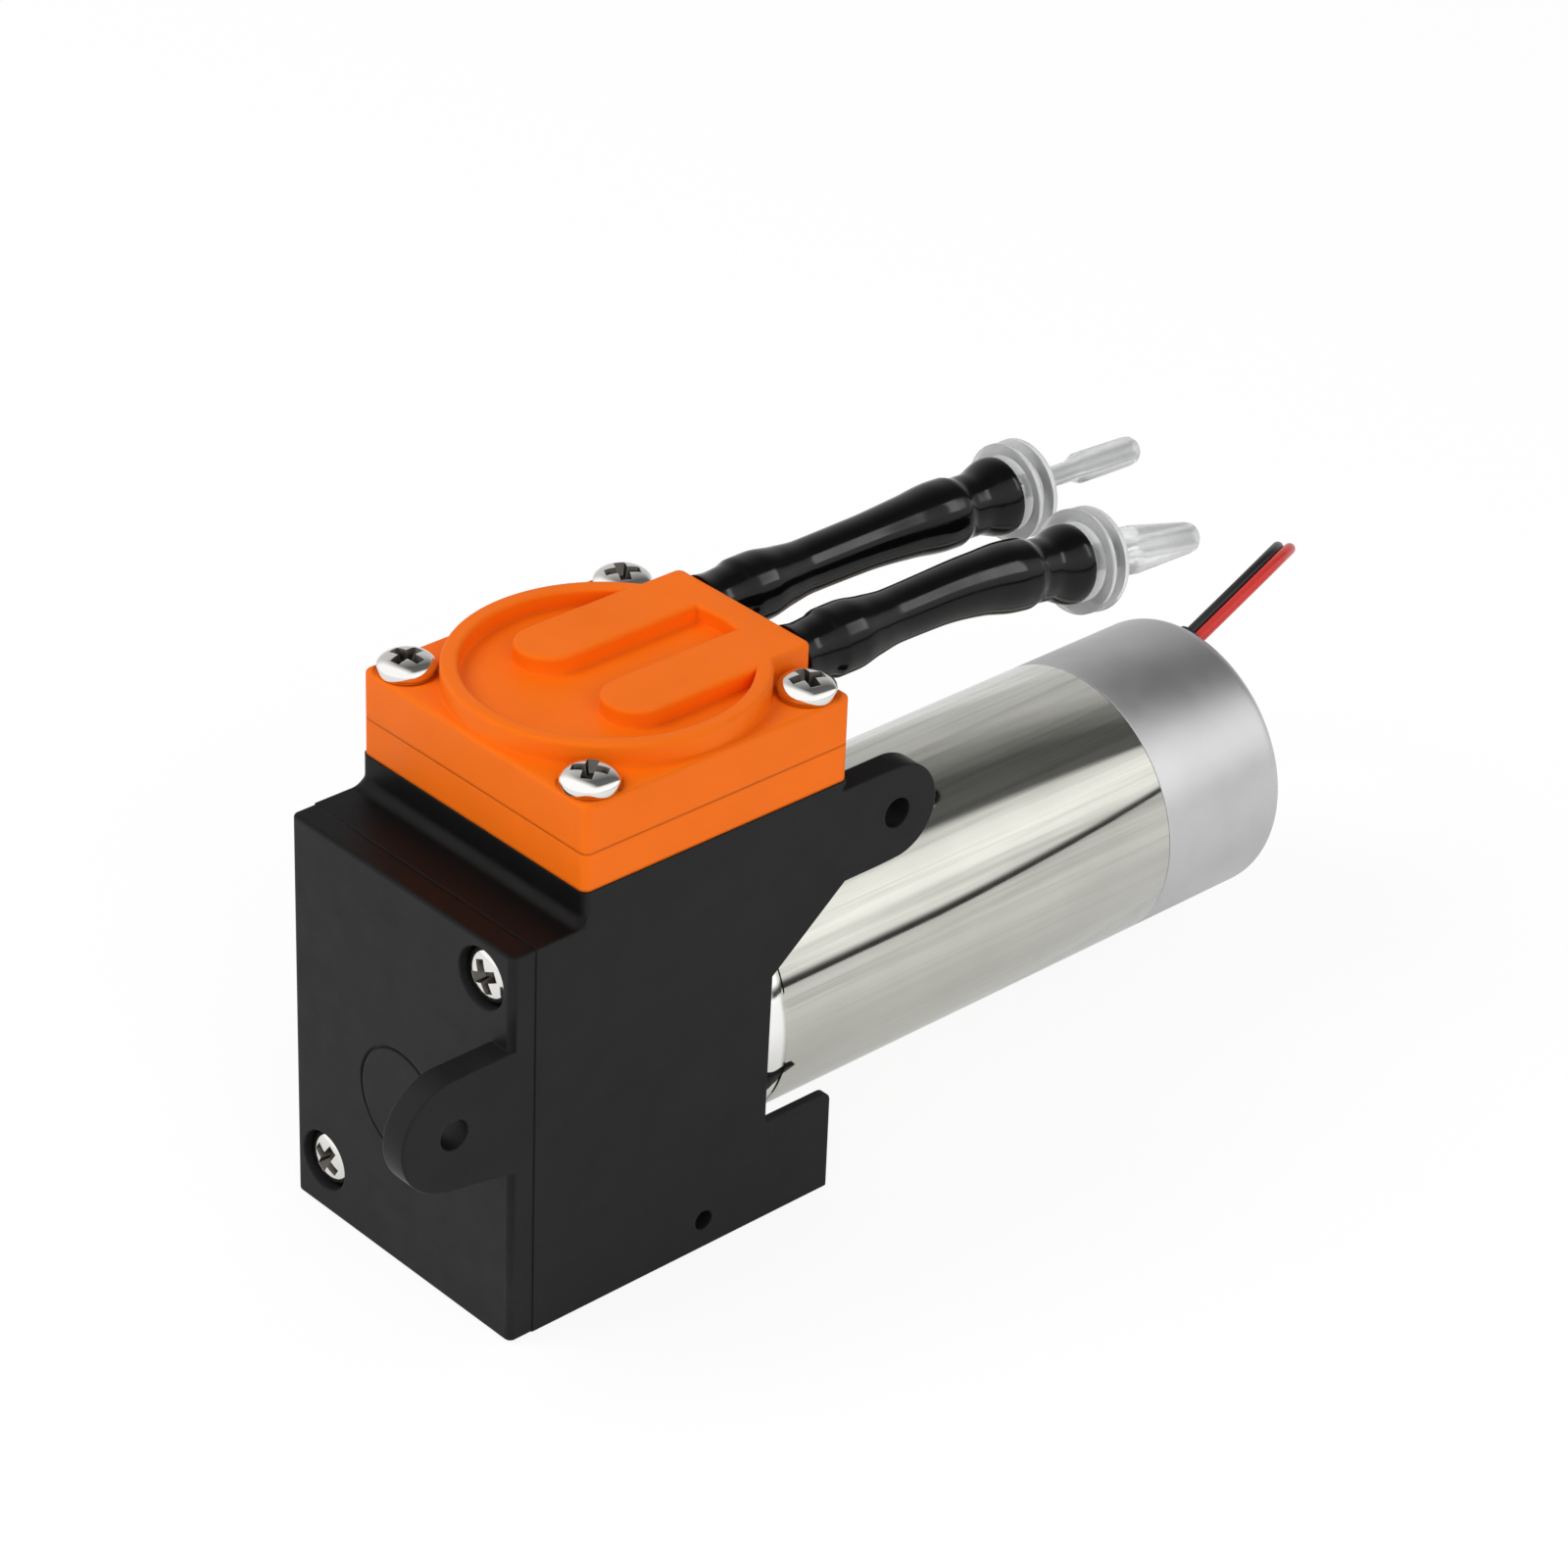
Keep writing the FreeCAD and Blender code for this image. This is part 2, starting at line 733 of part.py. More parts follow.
def inner_race(b, y, z):
    race = ring_y(b["pitch"] - b["shoulder"], b["inner"], y - b["half"], y + b["half"], 0, z)
    return race.cut(race_groove(b, y, z))


def outer_race(b, y, z):
    race = ring_y(b["outer"], b["pitch"] + b["shoulder"], y - b["half"], y + b["half"], 0, z)
    return race.cut(race_groove(b, y, z))


def ball_places(b, y, z, count):
    places = []
    for turn in range(count):
        angle = 2 * math.pi * turn / count
        places.append(V(b["pitch"] * math.cos(angle), y, z + b["pitch"] * math.sin(angle)))
    return places


def ball_set(b, y, z, count):
    return as_one([Part.makeSphere(b["ball"], p) for p in ball_places(b, y, z, count)])


def ball_cage(b, y, z, count):
    """Band round the balls, with a round window for each of them."""
    half = b["shoulder"] * cage_share
    reach = b["ball"] * cage_reach_share
    band = ring_y(b["pitch"] + half, b["pitch"] - half, y - reach, y + reach, 0, z)
    middle = V(0, y, z)
    windows = []
    for place in ball_places(b, y, z, count):
        windows.append(Part.makeCylinder(b["ball"] + rolling_gap, 2 * b["pitch"], middle,
                                         place - middle))
    return bored(band, windows)


front_bearing = bearing_sizes(2 * shaft_radius, front_bearing_outside, front_bearing_width)
front_bearing_y = bearing_seat_y + front_bearing_width / 2
rod_bearing = bearing_sizes(rod_bearing_bore, rod_bearing_outside, rod_bearing_width)
plate_y = tube_end_y - 2 * end_gap - brush_plate_thickness
segment_y = plate_y - commutator_gap - end_gap - commutator_length
sleeve_y = segment_y - end_gap
winding_end_y = sleeve_y - 2 * end_gap
core_rear_y = winding_end_y - winding_overhang
core_front_y = rear_y + motor_front_plate + bush_length + winding_overhang + core_end_gap
core_radius = motor_radius - motor_wall - magnet_thickness - air_gap
front_bush_y = rear_y - motor_boss_length + bore_gap


def shaft():
    return bar_y(shaft_radius, bearing_seat_y + end_gap, plate_y + bush_length + 2 * end_gap)


def crank_hub():
    half = rod_bearing_width / 2
    spigot = bar_y(rod_bearing_bore / 2, -half, half, 0, crank_z)
    back_y = -half - hub_step
    shoulder = bar_y(rod_bearing_bore / 2 + hub_shoulder, back_y, -half, 0, crank_z)
    front_y = back_y - balance_width
    hub = bar_y(hub_radius, front_y, back_y)
    sector = bar_y(balance_radius, front_y, back_y)
    sector = sector.common(box(-balance_radius, balance_radius, front_y, back_y,
                               0, shaft_z - hub_radius * 0.35))
    sector = rounded(sector, 0.5, lambda b: b.YLength < 0.01 and b.ZLength > hub_radius)
    body = joined([spigot, shoulder, hub, sector])
    screw_y = (front_y + back_y) / 2
    return bored(body, [bar_y(shaft_radius, front_y - 1, half + 1),
                        bar_x(hub_screw_radius + thread_gap, 0, hub_radius + 1,
                              screw_y, shaft_z)])


def hub_screw():
    screw_y = -rod_bearing_width / 2 - hub_step - balance_width / 2
    body = bar_x(hub_screw_radius, shaft_radius + slide_fit, hub_radius - end_gap,
                 screw_y, shaft_z)
    socket = []
    for turn in range(6):
        angle = math.radians(60 * turn)
        socket.append((screw_y + socket_radius * math.cos(angle),
                       shaft_z + socket_radius * math.sin(angle)))
    return body.cut(prism_x(socket, hub_radius - end_gap - socket_depth, hub_radius + 1))


def armature_core():
    body = bar_y(core_radius, core_front_y, core_rear_y)
    slot_in = core_radius * 0.42
    slot_out = core_radius * 0.84
    for pole in range(core_poles):
        wide = [(slot_in, -0.9), (slot_out, -3.1), (slot_out, 3.1), (slot_in, 0.9)]
        slot = slot_prism(wide, core_front_y - 1, core_rear_y + 1, pole)
        mouth = [(slot_out - 1, -0.6), (core_radius + 1, -0.6), (core_radius + 1, 0.6),
                 (slot_out - 1, 0.6)]
        opening = slot_prism(mouth, core_front_y - 1, core_rear_y + 1, pole)
        body = bored(body, [slot, opening])
    return body.cut(bar_y(shaft_radius, core_front_y - 1, core_rear_y + 1))


def slot_prism(outline, y0, y1, pole):
    """Prism along Y through the gap that follows the given pole."""
    angle = 2 * math.pi * (pole + 0.5) / core_poles
    corners = []
    for along, across in outline:
        x = along * math.sin(angle) + across * math.cos(angle)
        z = shaft_z + along * math.cos(angle) - across * math.sin(angle)
        corners.append(V(x, y0, z))
    face = Part.Face(Part.makePolygon(corners + corners[:1]))
    return face.extrude(V(0, y1 - y0, 0))


def windings():
    slot_in = core_radius * 0.42 + winding_gap
    slot_out = core_radius * 0.84 - winding_gap
    bars = []
    for pole in range(core_poles):
        wide = [(slot_in, -0.7), (slot_out, -2.8), (slot_out, 2.8), (slot_in, 0.7)]
        bars.append(slot_prism(wide, core_front_y - 0.5, core_rear_y + 0.5, pole))
    front = ring_y(slot_out, slot_in, core_front_y - winding_overhang, core_front_y - 0.1)
    rear = ring_y(slot_out, slot_in, core_rear_y + 0.1, winding_end_y)
    front = rounded(front, 0.8, lambda b: b.XLength > 2 * slot_out - 0.01
                    and b.YMax < core_front_y - 1)
    rear = rounded(rear, 0.8, lambda b: b.XLength > 2 * slot_out - 0.01
                   and b.YMin > core_rear_y + 1)
    return joined([front, rear] + bars)


def commutator_sleeve():
    return ring_y(commutator_radius - segment_thickness, shaft_radius, sleeve_y,
                  segment_y + commutator_length + end_gap)


def commutator():
    ring = ring_y(commutator_radius, commutator_radius - segment_thickness,
                  segment_y, segment_y + commutator_length)
    cuts = []
    for pole in range(core_poles):
        outline = [(0, -segment_slot / 2), (commutator_radius + 1, -segment_slot / 2),
                   (commutator_radius + 1, segment_slot / 2), (0, segment_slot / 2)]
        cuts.append(slot_prism(outline, segment_y - 1, segment_y + commutator_length + 1, pole))
    return bored(ring, cuts)


def motor_tube():
    outer = bar_y(motor_radius, rear_y, tube_end_y)
    outer = rounded(outer, motor_front_round, lambda b: b.YMax < rear_y + 0.01)
    inside = bar_y(motor_radius - motor_wall, rear_y + motor_front_plate, tube_end_y + 1)
    inside = rounded(inside, motor_front_round - motor_wall,
                     lambda b: b.YMax < rear_y + motor_front_plate + 0.01)
    boss = bar_y(motor_boss_radius, rear_y - motor_boss_length, rear_y + 1)
    nose = bar_y(motor_boss_radius, rear_y, rear_y + motor_front_plate + bush_length * 0.3)
    body = joined([outer.cut(inside), boss, nose])
    tools = [bar_y(bush_radius, front_bush_y, rear_y + bush_length + 2),
             bar_y(shaft_radius + bore_gap, rear_y - motor_boss_length - 1, rear_y)]
    for side in (-1, 1):
        tools.append(bar_y(small_shank_radius + thread_gap, rear_y - 1,
                           rear_y + motor_front_plate + 1, side * motor_screw_spread))
    return bored(body, tools)


def bush(front_y):
    return ring_y(bush_radius, shaft_radius + running_gap, front_y, front_y + bush_length)


def magnets():
    y0 = core_front_y - magnet_overhang
    y1 = core_rear_y + magnet_overhang
    outer = motor_radius - motor_wall
    ring = ring_y(outer, outer - magnet_thickness, y0, y1)
    gap = box(-magnet_slot / 2, magnet_slot / 2, y0 - 1, y1 + 1,
              shaft_z - motor_radius, shaft_z + motor_radius)
    return ring.cut(gap)


def brush_plate():
    outer = motor_radius - motor_wall - slide_fit
    disc = bar_y(outer, plate_y, plate_y + brush_plate_thickness)
    boss = bar_y(bush_radius + 1.4, plate_y, plate_y + bush_length)
    body = joined([disc, boss])
    tools = [bar_y(bush_radius, plate_y - 1, plate_y + bush_length + 1)]
    for side in (-1, 1):
        tools.append(terminal_box(side, slide_fit))
    return bored(body, tools)


def leaf_x(side):
    near = commutator_radius + slide_fit + brush_length
    return sorted((side * near, side * (near + brush_leaf)))


def terminal_box(side, gap=0.0):
    x0, x1 = leaf_x(side)
    low = shaft_z - terminal_drop
    return box(x0 - gap, x1 + gap, plate_y - gap, plate_y + brush_plate_thickness + terminal_length,
               low - gap, low + terminal_width + gap)


def brush_arms():
    arms = []
    low = shaft_z - terminal_drop
    brush_y = segment_y + commutator_length / 2
    for side in (-1, 1):
        x0, x1 = leaf_x(side)
        leaf = box(x0, x1, brush_y - brush_width / 2, brush_y + brush_width / 2,
                   low, shaft_z + leaf_rise)
        foot = box(x0, x1, brush_y - brush_width / 2, plate_y, low, low + terminal_width)
        arms.append(joined([leaf, foot, terminal_box(side)]))
    return as_one(arms)


def brushes():
    blocks = []
    brush_y = segment_y + commutator_length / 2
    for side in (-1, 1):
        near = commutator_radius + slide_fit
        x0, x1 = sorted((side * (near - brush_reach), side * (near + brush_length)))
        block = box(x0, x1, brush_y - brush_width / 2, brush_y + brush_width / 2,
                    shaft_z - brush_width / 2, shaft_z + brush_width / 2)
        blocks.append(block.cut(bar_y(near, segment_y, segment_y + commutator_length)))
    return as_one(blocks)


def motor_cap():
    outer = bar_y(motor_radius, tube_end_y, cap_end_y)
    outer = rounded(outer, motor_cap_round, lambda b: b.YMin > cap_end_y - 0.01)
    inside = bar_y(motor_radius - motor_cap_wall, tube_end_y - 1, cap_end_y - motor_cap_wall)
    spigot = ring_y(motor_radius - motor_wall - slide_fit, motor_radius - motor_cap_wall - 1,
                    tube_end_y - 0.35, tube_end_y + 0.5)
    body = joined([outer.cut(inside), spigot])
    lead_hole = bar_y(gland_flange - gland_neck, cap_end_y - motor_cap_wall - 1,
                      cap_end_y + 1, lead_exit_x, shaft_z + lead_exit_rise)
    return body.cut(lead_hole)


def lead_gland():
    z = shaft_z + lead_exit_rise
    hole = gland_flange - gland_neck
    flange = bar_y(gland_flange, cap_end_y, cap_end_y + gland_height, lead_exit_x, z)
    neck = bar_y(hole, cap_end_y - motor_cap_wall, cap_end_y, lead_exit_x, z)
    lip = bar_y(gland_flange - gland_lip, cap_end_y - motor_cap_wall - gland_neck,
                cap_end_y - motor_cap_wall, lead_exit_x, z)
    tilt = math.radians(lead_tilt)
    along = V(0, math.cos(tilt), math.sin(tilt))
    foot = V(lead_exit_x, cap_end_y + gland_height * 0.3, z)
    nozzle = Part.makeCone(lead_width / 2 + 2 * gland_wall, lead_width / 2 + gland_wall,
                           gland_height + gland_nozzle, foot, along)
    outside = box(-motor_radius, motor_radius, cap_end_y, cap_end_y + motor_radius,
                  shaft_z, shaft_z + 2 * motor_radius)
    return joined([flange, neck, lip, nozzle.common(outside)])


def lead_start():
    tilt = math.radians(lead_tilt)
    length = gland_height + gland_nozzle
    return V(lead_exit_x, cap_end_y + gland_height * 0.3 + length * math.cos(tilt),
             shaft_z + lead_exit_rise + length * math.sin(tilt))


# Route of the lead from its gland to the coil beside the motor, chosen by hand.
lead_route = [(-3.6, 93.0, 32.9), (-8.8, 98.6, 28.4), (-16.2, 100.8, 19.3),
              (-22.2, 97.0, 9.4), (-19.8, 81.6, 2.2), (-13.6, 70.3, 1.2)]


def lead_points():
    tilt = math.radians(lead_tilt)
    start = lead_start()
    away = V(0, math.cos(tilt), math.sin(tilt))
    points = [start, start + away * lead_first_run]
    for x, y, z in lead_route:
        points.append(V(x, y, z))
    return points


def tube_path(points, share=0.45):
    """Straight runs joined by tangent arcs, with the radius of each arc printed."""
    edges = []
    start = points[0]
    for before, corner, after in zip(points, points[1:], points[2:]):
        arriving = (corner - before).normalize()
        leaving = (after - corner).normalize()
        turn = math.acos(max(-1.0, min(1.0, arriving.dot(leaving))))
        trim = share * min((corner - before).Length, (after - corner).Length)
        radius = trim / math.tan(turn / 2)
        first = corner - arriving * trim
        last = corner + leaving * trim
        inward = (leaving - arriving).normalize()
        centre = corner + inward * (radius / math.cos(turn / 2))
        middle = centre - inward * radius
        edges.append(Part.LineSegment(start, first).toShape())
        edges.append(Part.Arc(first, middle, last).toShape())
        print("lead arc: turn %.0f degrees, radius %.1f" % (math.degrees(turn), radius))
        start = last
    edges.append(Part.LineSegment(start, points[-1]).toShape())
    return Part.Wire(edges)


def lead_run():
    points = lead_points()
    path = tube_path(points)
    along = points[1] - points[0]
    section = Part.Wire(Part.makeCircle(lead_width / 2, points[0], along))
    tube = path.makePipeShell([section], True, True)
    exact = math.pi * (lead_width / 2) ** 2 * path.Length
    print("lead run: length %.1f, volume %.2f of %.2f" % (path.Length, tube.Volume, exact))
    return tube


def lead_coil():
    reach = coil_turns * coil_turns_apart / 2 + lead_width / 2
    inner = coil_radius - reach
    outer = coil_radius + reach
    edge = coil_edge
    ring = turned_z([(inner, edge), (inner + edge, 0), (outer - edge, 0), (outer, edge),
                     (outer, lead_width - edge), (outer - edge, lead_width),
                     (inner + edge, lead_width), (inner, lead_width - edge)],
                    coil_x, coil_y)
    print("lead coil: length %.1f" % (coil_turns * 2 * math.pi * coil_radius))
    return ring


def hose_line(length, slope, along):
    """Drop and slope of a hose at a distance from the port block."""
    bend = length - hose_grip - hose_straight
    inside = min(max(0.0, along - hose_straight), bend)
    beyond = max(0.0, along - hose_straight - bend)
    return 0.5 * slope * inside * inside / bend + slope * beyond, slope * inside / bend


def hose_sections(x, length, slope, stations):
    wires = []
    for along, radius in stations:
        drop, tilt = hose_line(length, slope, along)
        centre = V(x, block_rear + along, port_z - drop)
        wires.append(Part.Wire(Part.makeCircle(radius, centre, V(0, 1, -tilt))))
    return wires


def hose(x, length, slope):
    """Moulded rubber hose with a sleeve at each end, pushed over two barbs."""
    grip = barb_radius + hose_fit
    bulge = barb_ridge + hose_fit
    rear = barb_length * ridge_place
    room = ridge_drop
    outer = [(0, hose_block_radius), (hose_collar, hose_waist_radius),
             (hose_bulge_foot, hose_waist_radius + hose_swell),
             (hose_bulge_start, hose_bulge_radius), (hose_bulge_end, hose_bulge_radius),
             (hose_waist_start, hose_waist_radius), (hose_middle_start, hose_middle_radius),
             (length - hose_middle_end, hose_middle_radius + hose_swell),
             (length - hose_sleeve_foot, hose_groove_radius),
             (length - hose_sleeve_start, hose_sleeve_radius),
             (length - hose_sleeve_end, hose_sleeve_radius),
             (length - hose_groove_start, hose_groove_radius),
             (length - hose_groove_end, hose_groove_radius),
             (length - hose_mouth_start, hose_mouth_radius), (length, hose_mouth_radius)]
    inner = [(0, grip), (rear - 2 * room, grip), (rear - room / 2, bulge), (rear + room, bulge),
             (barb_length + room, grip), (hose_middle_start, hose_bore),
             (length - hose_grip - ridge_lead, hose_bore), (length - hose_grip, grip),
             (length - ridge_front - room, bulge), (length - ridge_back + room / 2, bulge),
             (length - ridge_foot + room / 2, grip), (length - adapter_cone, grip),
             (length, adapter_root + hose_fit)]
    skin = Part.makeLoft(hose_sections(x, length, slope, outer), True, True)
    bore = Part.makeLoft(hose_sections(x, length, slope, inner), True, True)
    return skin.cut(bore)


def adapter(x, length, slope, flange, gap, tip):
    """Clear stepped adapter: barb in the hose, two flanges and a nozzle."""
    root = flange_start
    far = root + flange_edge + gap
    core = flange * adapter_core
    start = ridge_front + ridge_lead
    inside = [(-start, 0), (-start, barb_radius - ridge_drop), (-ridge_front, barb_ridge),
              (-ridge_back, barb_ridge), (-ridge_foot, barb_radius),
              (-adapter_cone, barb_radius), (0, adapter_root), (root, adapter_root)]
    flanges = [(root, flange), (root + flange_edge, flange), (root + flange_edge, core),
               (far, core), (far, flange), (far + flange_edge, flange)]
    body = turned_y(inside + flanges + [(far + flange_edge + y, r) for y, r in tip], 0, 0)
    end = far + flange_edge + tip[-1][0]
    body = body.cut(bar_y(adapter_bore, -start - 1, end + 1, 0, 0))
    drop, tilt = hose_line(length, slope, length)
    body.rotate(V(0, 0, 0), V(1, 0, 0), -math.degrees(math.atan(tilt)))
    body.translate(V(x, block_rear + length, port_z - drop))
    return body


def left_adapter():
    tip = [(0, left_neck_radius), (left_neck_length, left_neck_radius),
           (left_nozzle_start, left_nozzle_radius), (left_nozzle_end, left_nozzle_radius),
           (left_tip_length, tip_radius), (left_tip_length, 0)]
    return adapter(-port_x, left_hose_length, left_hose_slope, left_flange_radius,
                   left_flange_gap, tip)


def right_adapter():
    tip = [(0, right_neck_radius), (right_neck_length, right_neck_radius),
           (right_barb_start, right_barb_radius), (right_barb_end, right_barb_radius),
           (right_taper_end, right_taper_radius), (right_tip_length, tip_radius),
           (right_tip_length, 0)]
    return adapter(port_x, right_hose_length, right_hose_slope, right_flange_radius,
                   right_flange_gap, tip)


parts = {
    "pump_housing": pump_housing(),
    "front_cover": front_cover(),
    "cover_screws": cover_screws(),
    "valve_plate": valve_plate(),
    "head_cover": head_cover(),
    "head_screws": head_screws(),
    "valve_seals": valve_seals(),
    "inlet_valve": inlet_valve(),
    "outlet_valve": outlet_valve(),
    "diaphragm": diaphragm(),
    "connecting_rod": connecting_rod(),
    "clamp_plate": clamp_plate(),
    "clamp_screw": clamp_screw(),
    "rod_bearing_outer_race": outer_race(rod_bearing, 0, crank_z),
    "rod_bearing_inner_race": inner_race(rod_bearing, 0, crank_z),
    "rod_bearing_balls": ball_set(rod_bearing, 0, crank_z, rod_balls),
    "rod_bearing_cage": ball_cage(rod_bearing, 0, crank_z, rod_balls),
    "front_bearing_outer_race": outer_race(front_bearing, front_bearing_y, shaft_z),
    "front_bearing_inner_race": inner_race(front_bearing, front_bearing_y, shaft_z),
    "front_bearing_balls": ball_set(front_bearing, front_bearing_y, shaft_z, front_balls),
    "front_bearing_cage": ball_cage(front_bearing, front_bearing_y, shaft_z, front_balls),
    "shaft": shaft(),
    "crank_hub": crank_hub(),
    "hub_screw": hub_screw(),
    "armature_core": armature_core(),
    "windings": windings(),
    "commutator_sleeve": commutator_sleeve(),
    "commutator": commutator(),
    "motor_tube": motor_tube(),
    "motor_screws": motor_screws(),
    "front_bush": bush(front_bush_y),
    "rear_bush": bush(plate_y),
    "magnets": magnets(),
    "brush_plate": brush_plate(),
    "brush_arms": brush_arms(),
    "brushes": brushes(),
    "motor_cap": motor_cap(),
    "lead_gland": lead_gland(),
    "lead_run": lead_run(),
    "lead_coil": lead_coil(),
    "left_hose": hose(-port_x, left_hose_length, left_hose_slope),
    "right_hose": hose(port_x, right_hose_length, right_hose_slope),
    "left_adapter": left_adapter(),
    "right_adapter": right_adapter(),
}

os.makedirs("parts", exist_ok=True)
for name, shape in parts.items():
    solids = len(shape.Solids)
    print("%-26s solids %2d  volume %9.2f  valid %s" % (name, solids, shape.Volume, shape.isValid()))
    shape.exportStep("parts/" + name + ".step")
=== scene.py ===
"""Studio scene of a small diaphragm vacuum pump with an orange head and a long motor.

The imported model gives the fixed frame. This script adds the finishes of every part, the
rounded edges, the screws, the moulded hoses, the clear adapters and the twin lead, and then
the floor, the lamps and the camera. Sizes are written in millimetres, and MM turns them into
the metres of the model's own frame.
"""

import json
import logging
import math
from dataclasses import dataclass, field
from enum import Enum
from typing import Callable, Dict, List, Optional, Sequence, Tuple, Union

import bmesh
import bpy
from mathutils import Matrix, Vector

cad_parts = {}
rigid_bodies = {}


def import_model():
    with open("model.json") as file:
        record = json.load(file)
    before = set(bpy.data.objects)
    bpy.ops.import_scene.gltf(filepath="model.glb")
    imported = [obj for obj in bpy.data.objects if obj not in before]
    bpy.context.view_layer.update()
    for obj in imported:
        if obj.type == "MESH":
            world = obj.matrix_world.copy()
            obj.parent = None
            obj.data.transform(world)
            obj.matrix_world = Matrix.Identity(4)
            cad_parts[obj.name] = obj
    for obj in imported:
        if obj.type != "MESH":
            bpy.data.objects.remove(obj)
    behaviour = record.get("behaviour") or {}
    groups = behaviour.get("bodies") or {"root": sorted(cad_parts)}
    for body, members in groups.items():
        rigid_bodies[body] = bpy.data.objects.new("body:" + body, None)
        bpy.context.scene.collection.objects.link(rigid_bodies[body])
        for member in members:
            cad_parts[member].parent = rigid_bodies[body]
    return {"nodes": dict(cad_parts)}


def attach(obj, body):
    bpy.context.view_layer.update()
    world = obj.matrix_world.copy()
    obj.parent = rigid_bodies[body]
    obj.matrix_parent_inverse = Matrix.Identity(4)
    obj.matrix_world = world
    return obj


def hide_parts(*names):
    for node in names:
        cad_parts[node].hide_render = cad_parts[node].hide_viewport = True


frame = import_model()

log = logging.getLogger("pump_scene")

MM = 0.001
Colour = Tuple[float, float, float]
Point = Tuple[float, float, float]
Station = Tuple[float, float]
Line = Callable[[float], Tuple[Vector, Vector]]

BLACK: Colour = (0.0, 0.0, 0.0)
WHITE: Colour = (1.0, 1.0, 1.0)
FINE_WEIGHT = 0.6  # weight of the fine octaves in grain and tool marks


class Slot(str, Enum):
    """Material slots of the record."""

    HOUSING = "housing_plastic"
    ORANGE = "orange_plastic"
    SCREW = "screw_steel"
    RUBBER = "black_rubber"
    CLEAR = "clear_plastic"
    VALVE = "valve_rubber"
    TUBE = "tube_steel"
    CAP = "cap_metal"
    LEAD = "lead_jacket"


class Look(str, Enum):
    """Names of the finishes."""

    HOUSING = "housing_black"
    HEAD = "head_orange"
    HOSE = "hose_rubber"
    GLAND = "gland_rubber"
    VALVE = "valve_rubber"
    ROD = "rod_nylon"
    INSULATOR = "insulator_brown"
    LEAD_RED = "lead_red"
    LEAD_BLACK = "lead_black"
    CARBON = "carbon"
    CLEAR = "clear_plastic"
    TUBE = "tube_plated"
    CAP = "cap_turned"
    SCREW = "screw_plated"
    # Near black finish that paints shade into the screws' cross recesses.
    RECESS = "screw_recess_shade"
    STEEL = "steel_ground"
    BRASS = "brass_turned"
    BRONZE = "bronze_sintered"
    COPPER = "copper_enamel"
    CORE = "core_laminated"
    MAGNET = "magnet_sintered"
    TIN = "tinned_copper"


class Marks(Enum):
    """What the tool left on a metal surface."""

    PLAIN = "plain"
    TURNED = "turned"
    DRAWN = "drawn"


class Ends(Enum):
    """How the ends of a turned piece close."""

    JOINED = "the last ring meets the first one"
    FILLED = "a flat face fills each end"


def srgb(red: float, green: float, blue: float) -> Colour:
    """Turn screen values from 0 to 255 into linear light.

    Args:
        red: Red screen value.
        green: Green screen value.
        blue: Blue screen value.

    Returns:
        The colour in linear light.
    """
    linear = []
    for value in (red, green, blue):
        share = value / 255.0
        if share <= 0.04045:
            linear.append(share / 12.92)
        else:
            linear.append(((share + 0.055) / 1.055) ** 2.4)
    return (linear[0], linear[1], linear[2])


@dataclass(frozen=True)
class Term:
    """A shader value that takes part in ordinary arithmetic.

    Attributes:
        graph: Graph that the value belongs to.
        socket: Output socket that carries the value.
    """

    graph: "Graph"
    socket: bpy.types.NodeSocket

    def __add__(self, other: "Term | float") -> "Term":
        """Add a value."""
        return self.graph.math("ADD", self, other)

    def __sub__(self, other: "Term | float") -> "Term":
        """Take a value away."""
        return self.graph.math("SUBTRACT", self, other)

    def __rsub__(self, other: float) -> "Term":
        """Take this value away from a number."""
        return self.graph.math("SUBTRACT", other, self)

    def __mul__(self, other: "Term | float") -> "Term":
        """Multiply by a value."""
        return self.graph.math("MULTIPLY", self, other)

    def __rmul__(self, other: float) -> "Term":
        """Multiply a number by this value."""
        return self.graph.math("MULTIPLY", other, self)

    def __truediv__(self, other: "Term | float") -> "Term":
        """Divide by a value."""
        return self.graph.math("DIVIDE", self, other)


Value = Union[Term, float, Sequence[float]]
Sockets = Dict[Union[int, str], Value]


@dataclass(frozen=True)
class Cells:
    """A noise field.

    Attributes:
        scale: Cells per unit of length.
        detail: Octaves.
        roughness: Weight of the fine octaves.
    """

    scale: float
    detail: float = 3.0
    roughness: float = 0.55


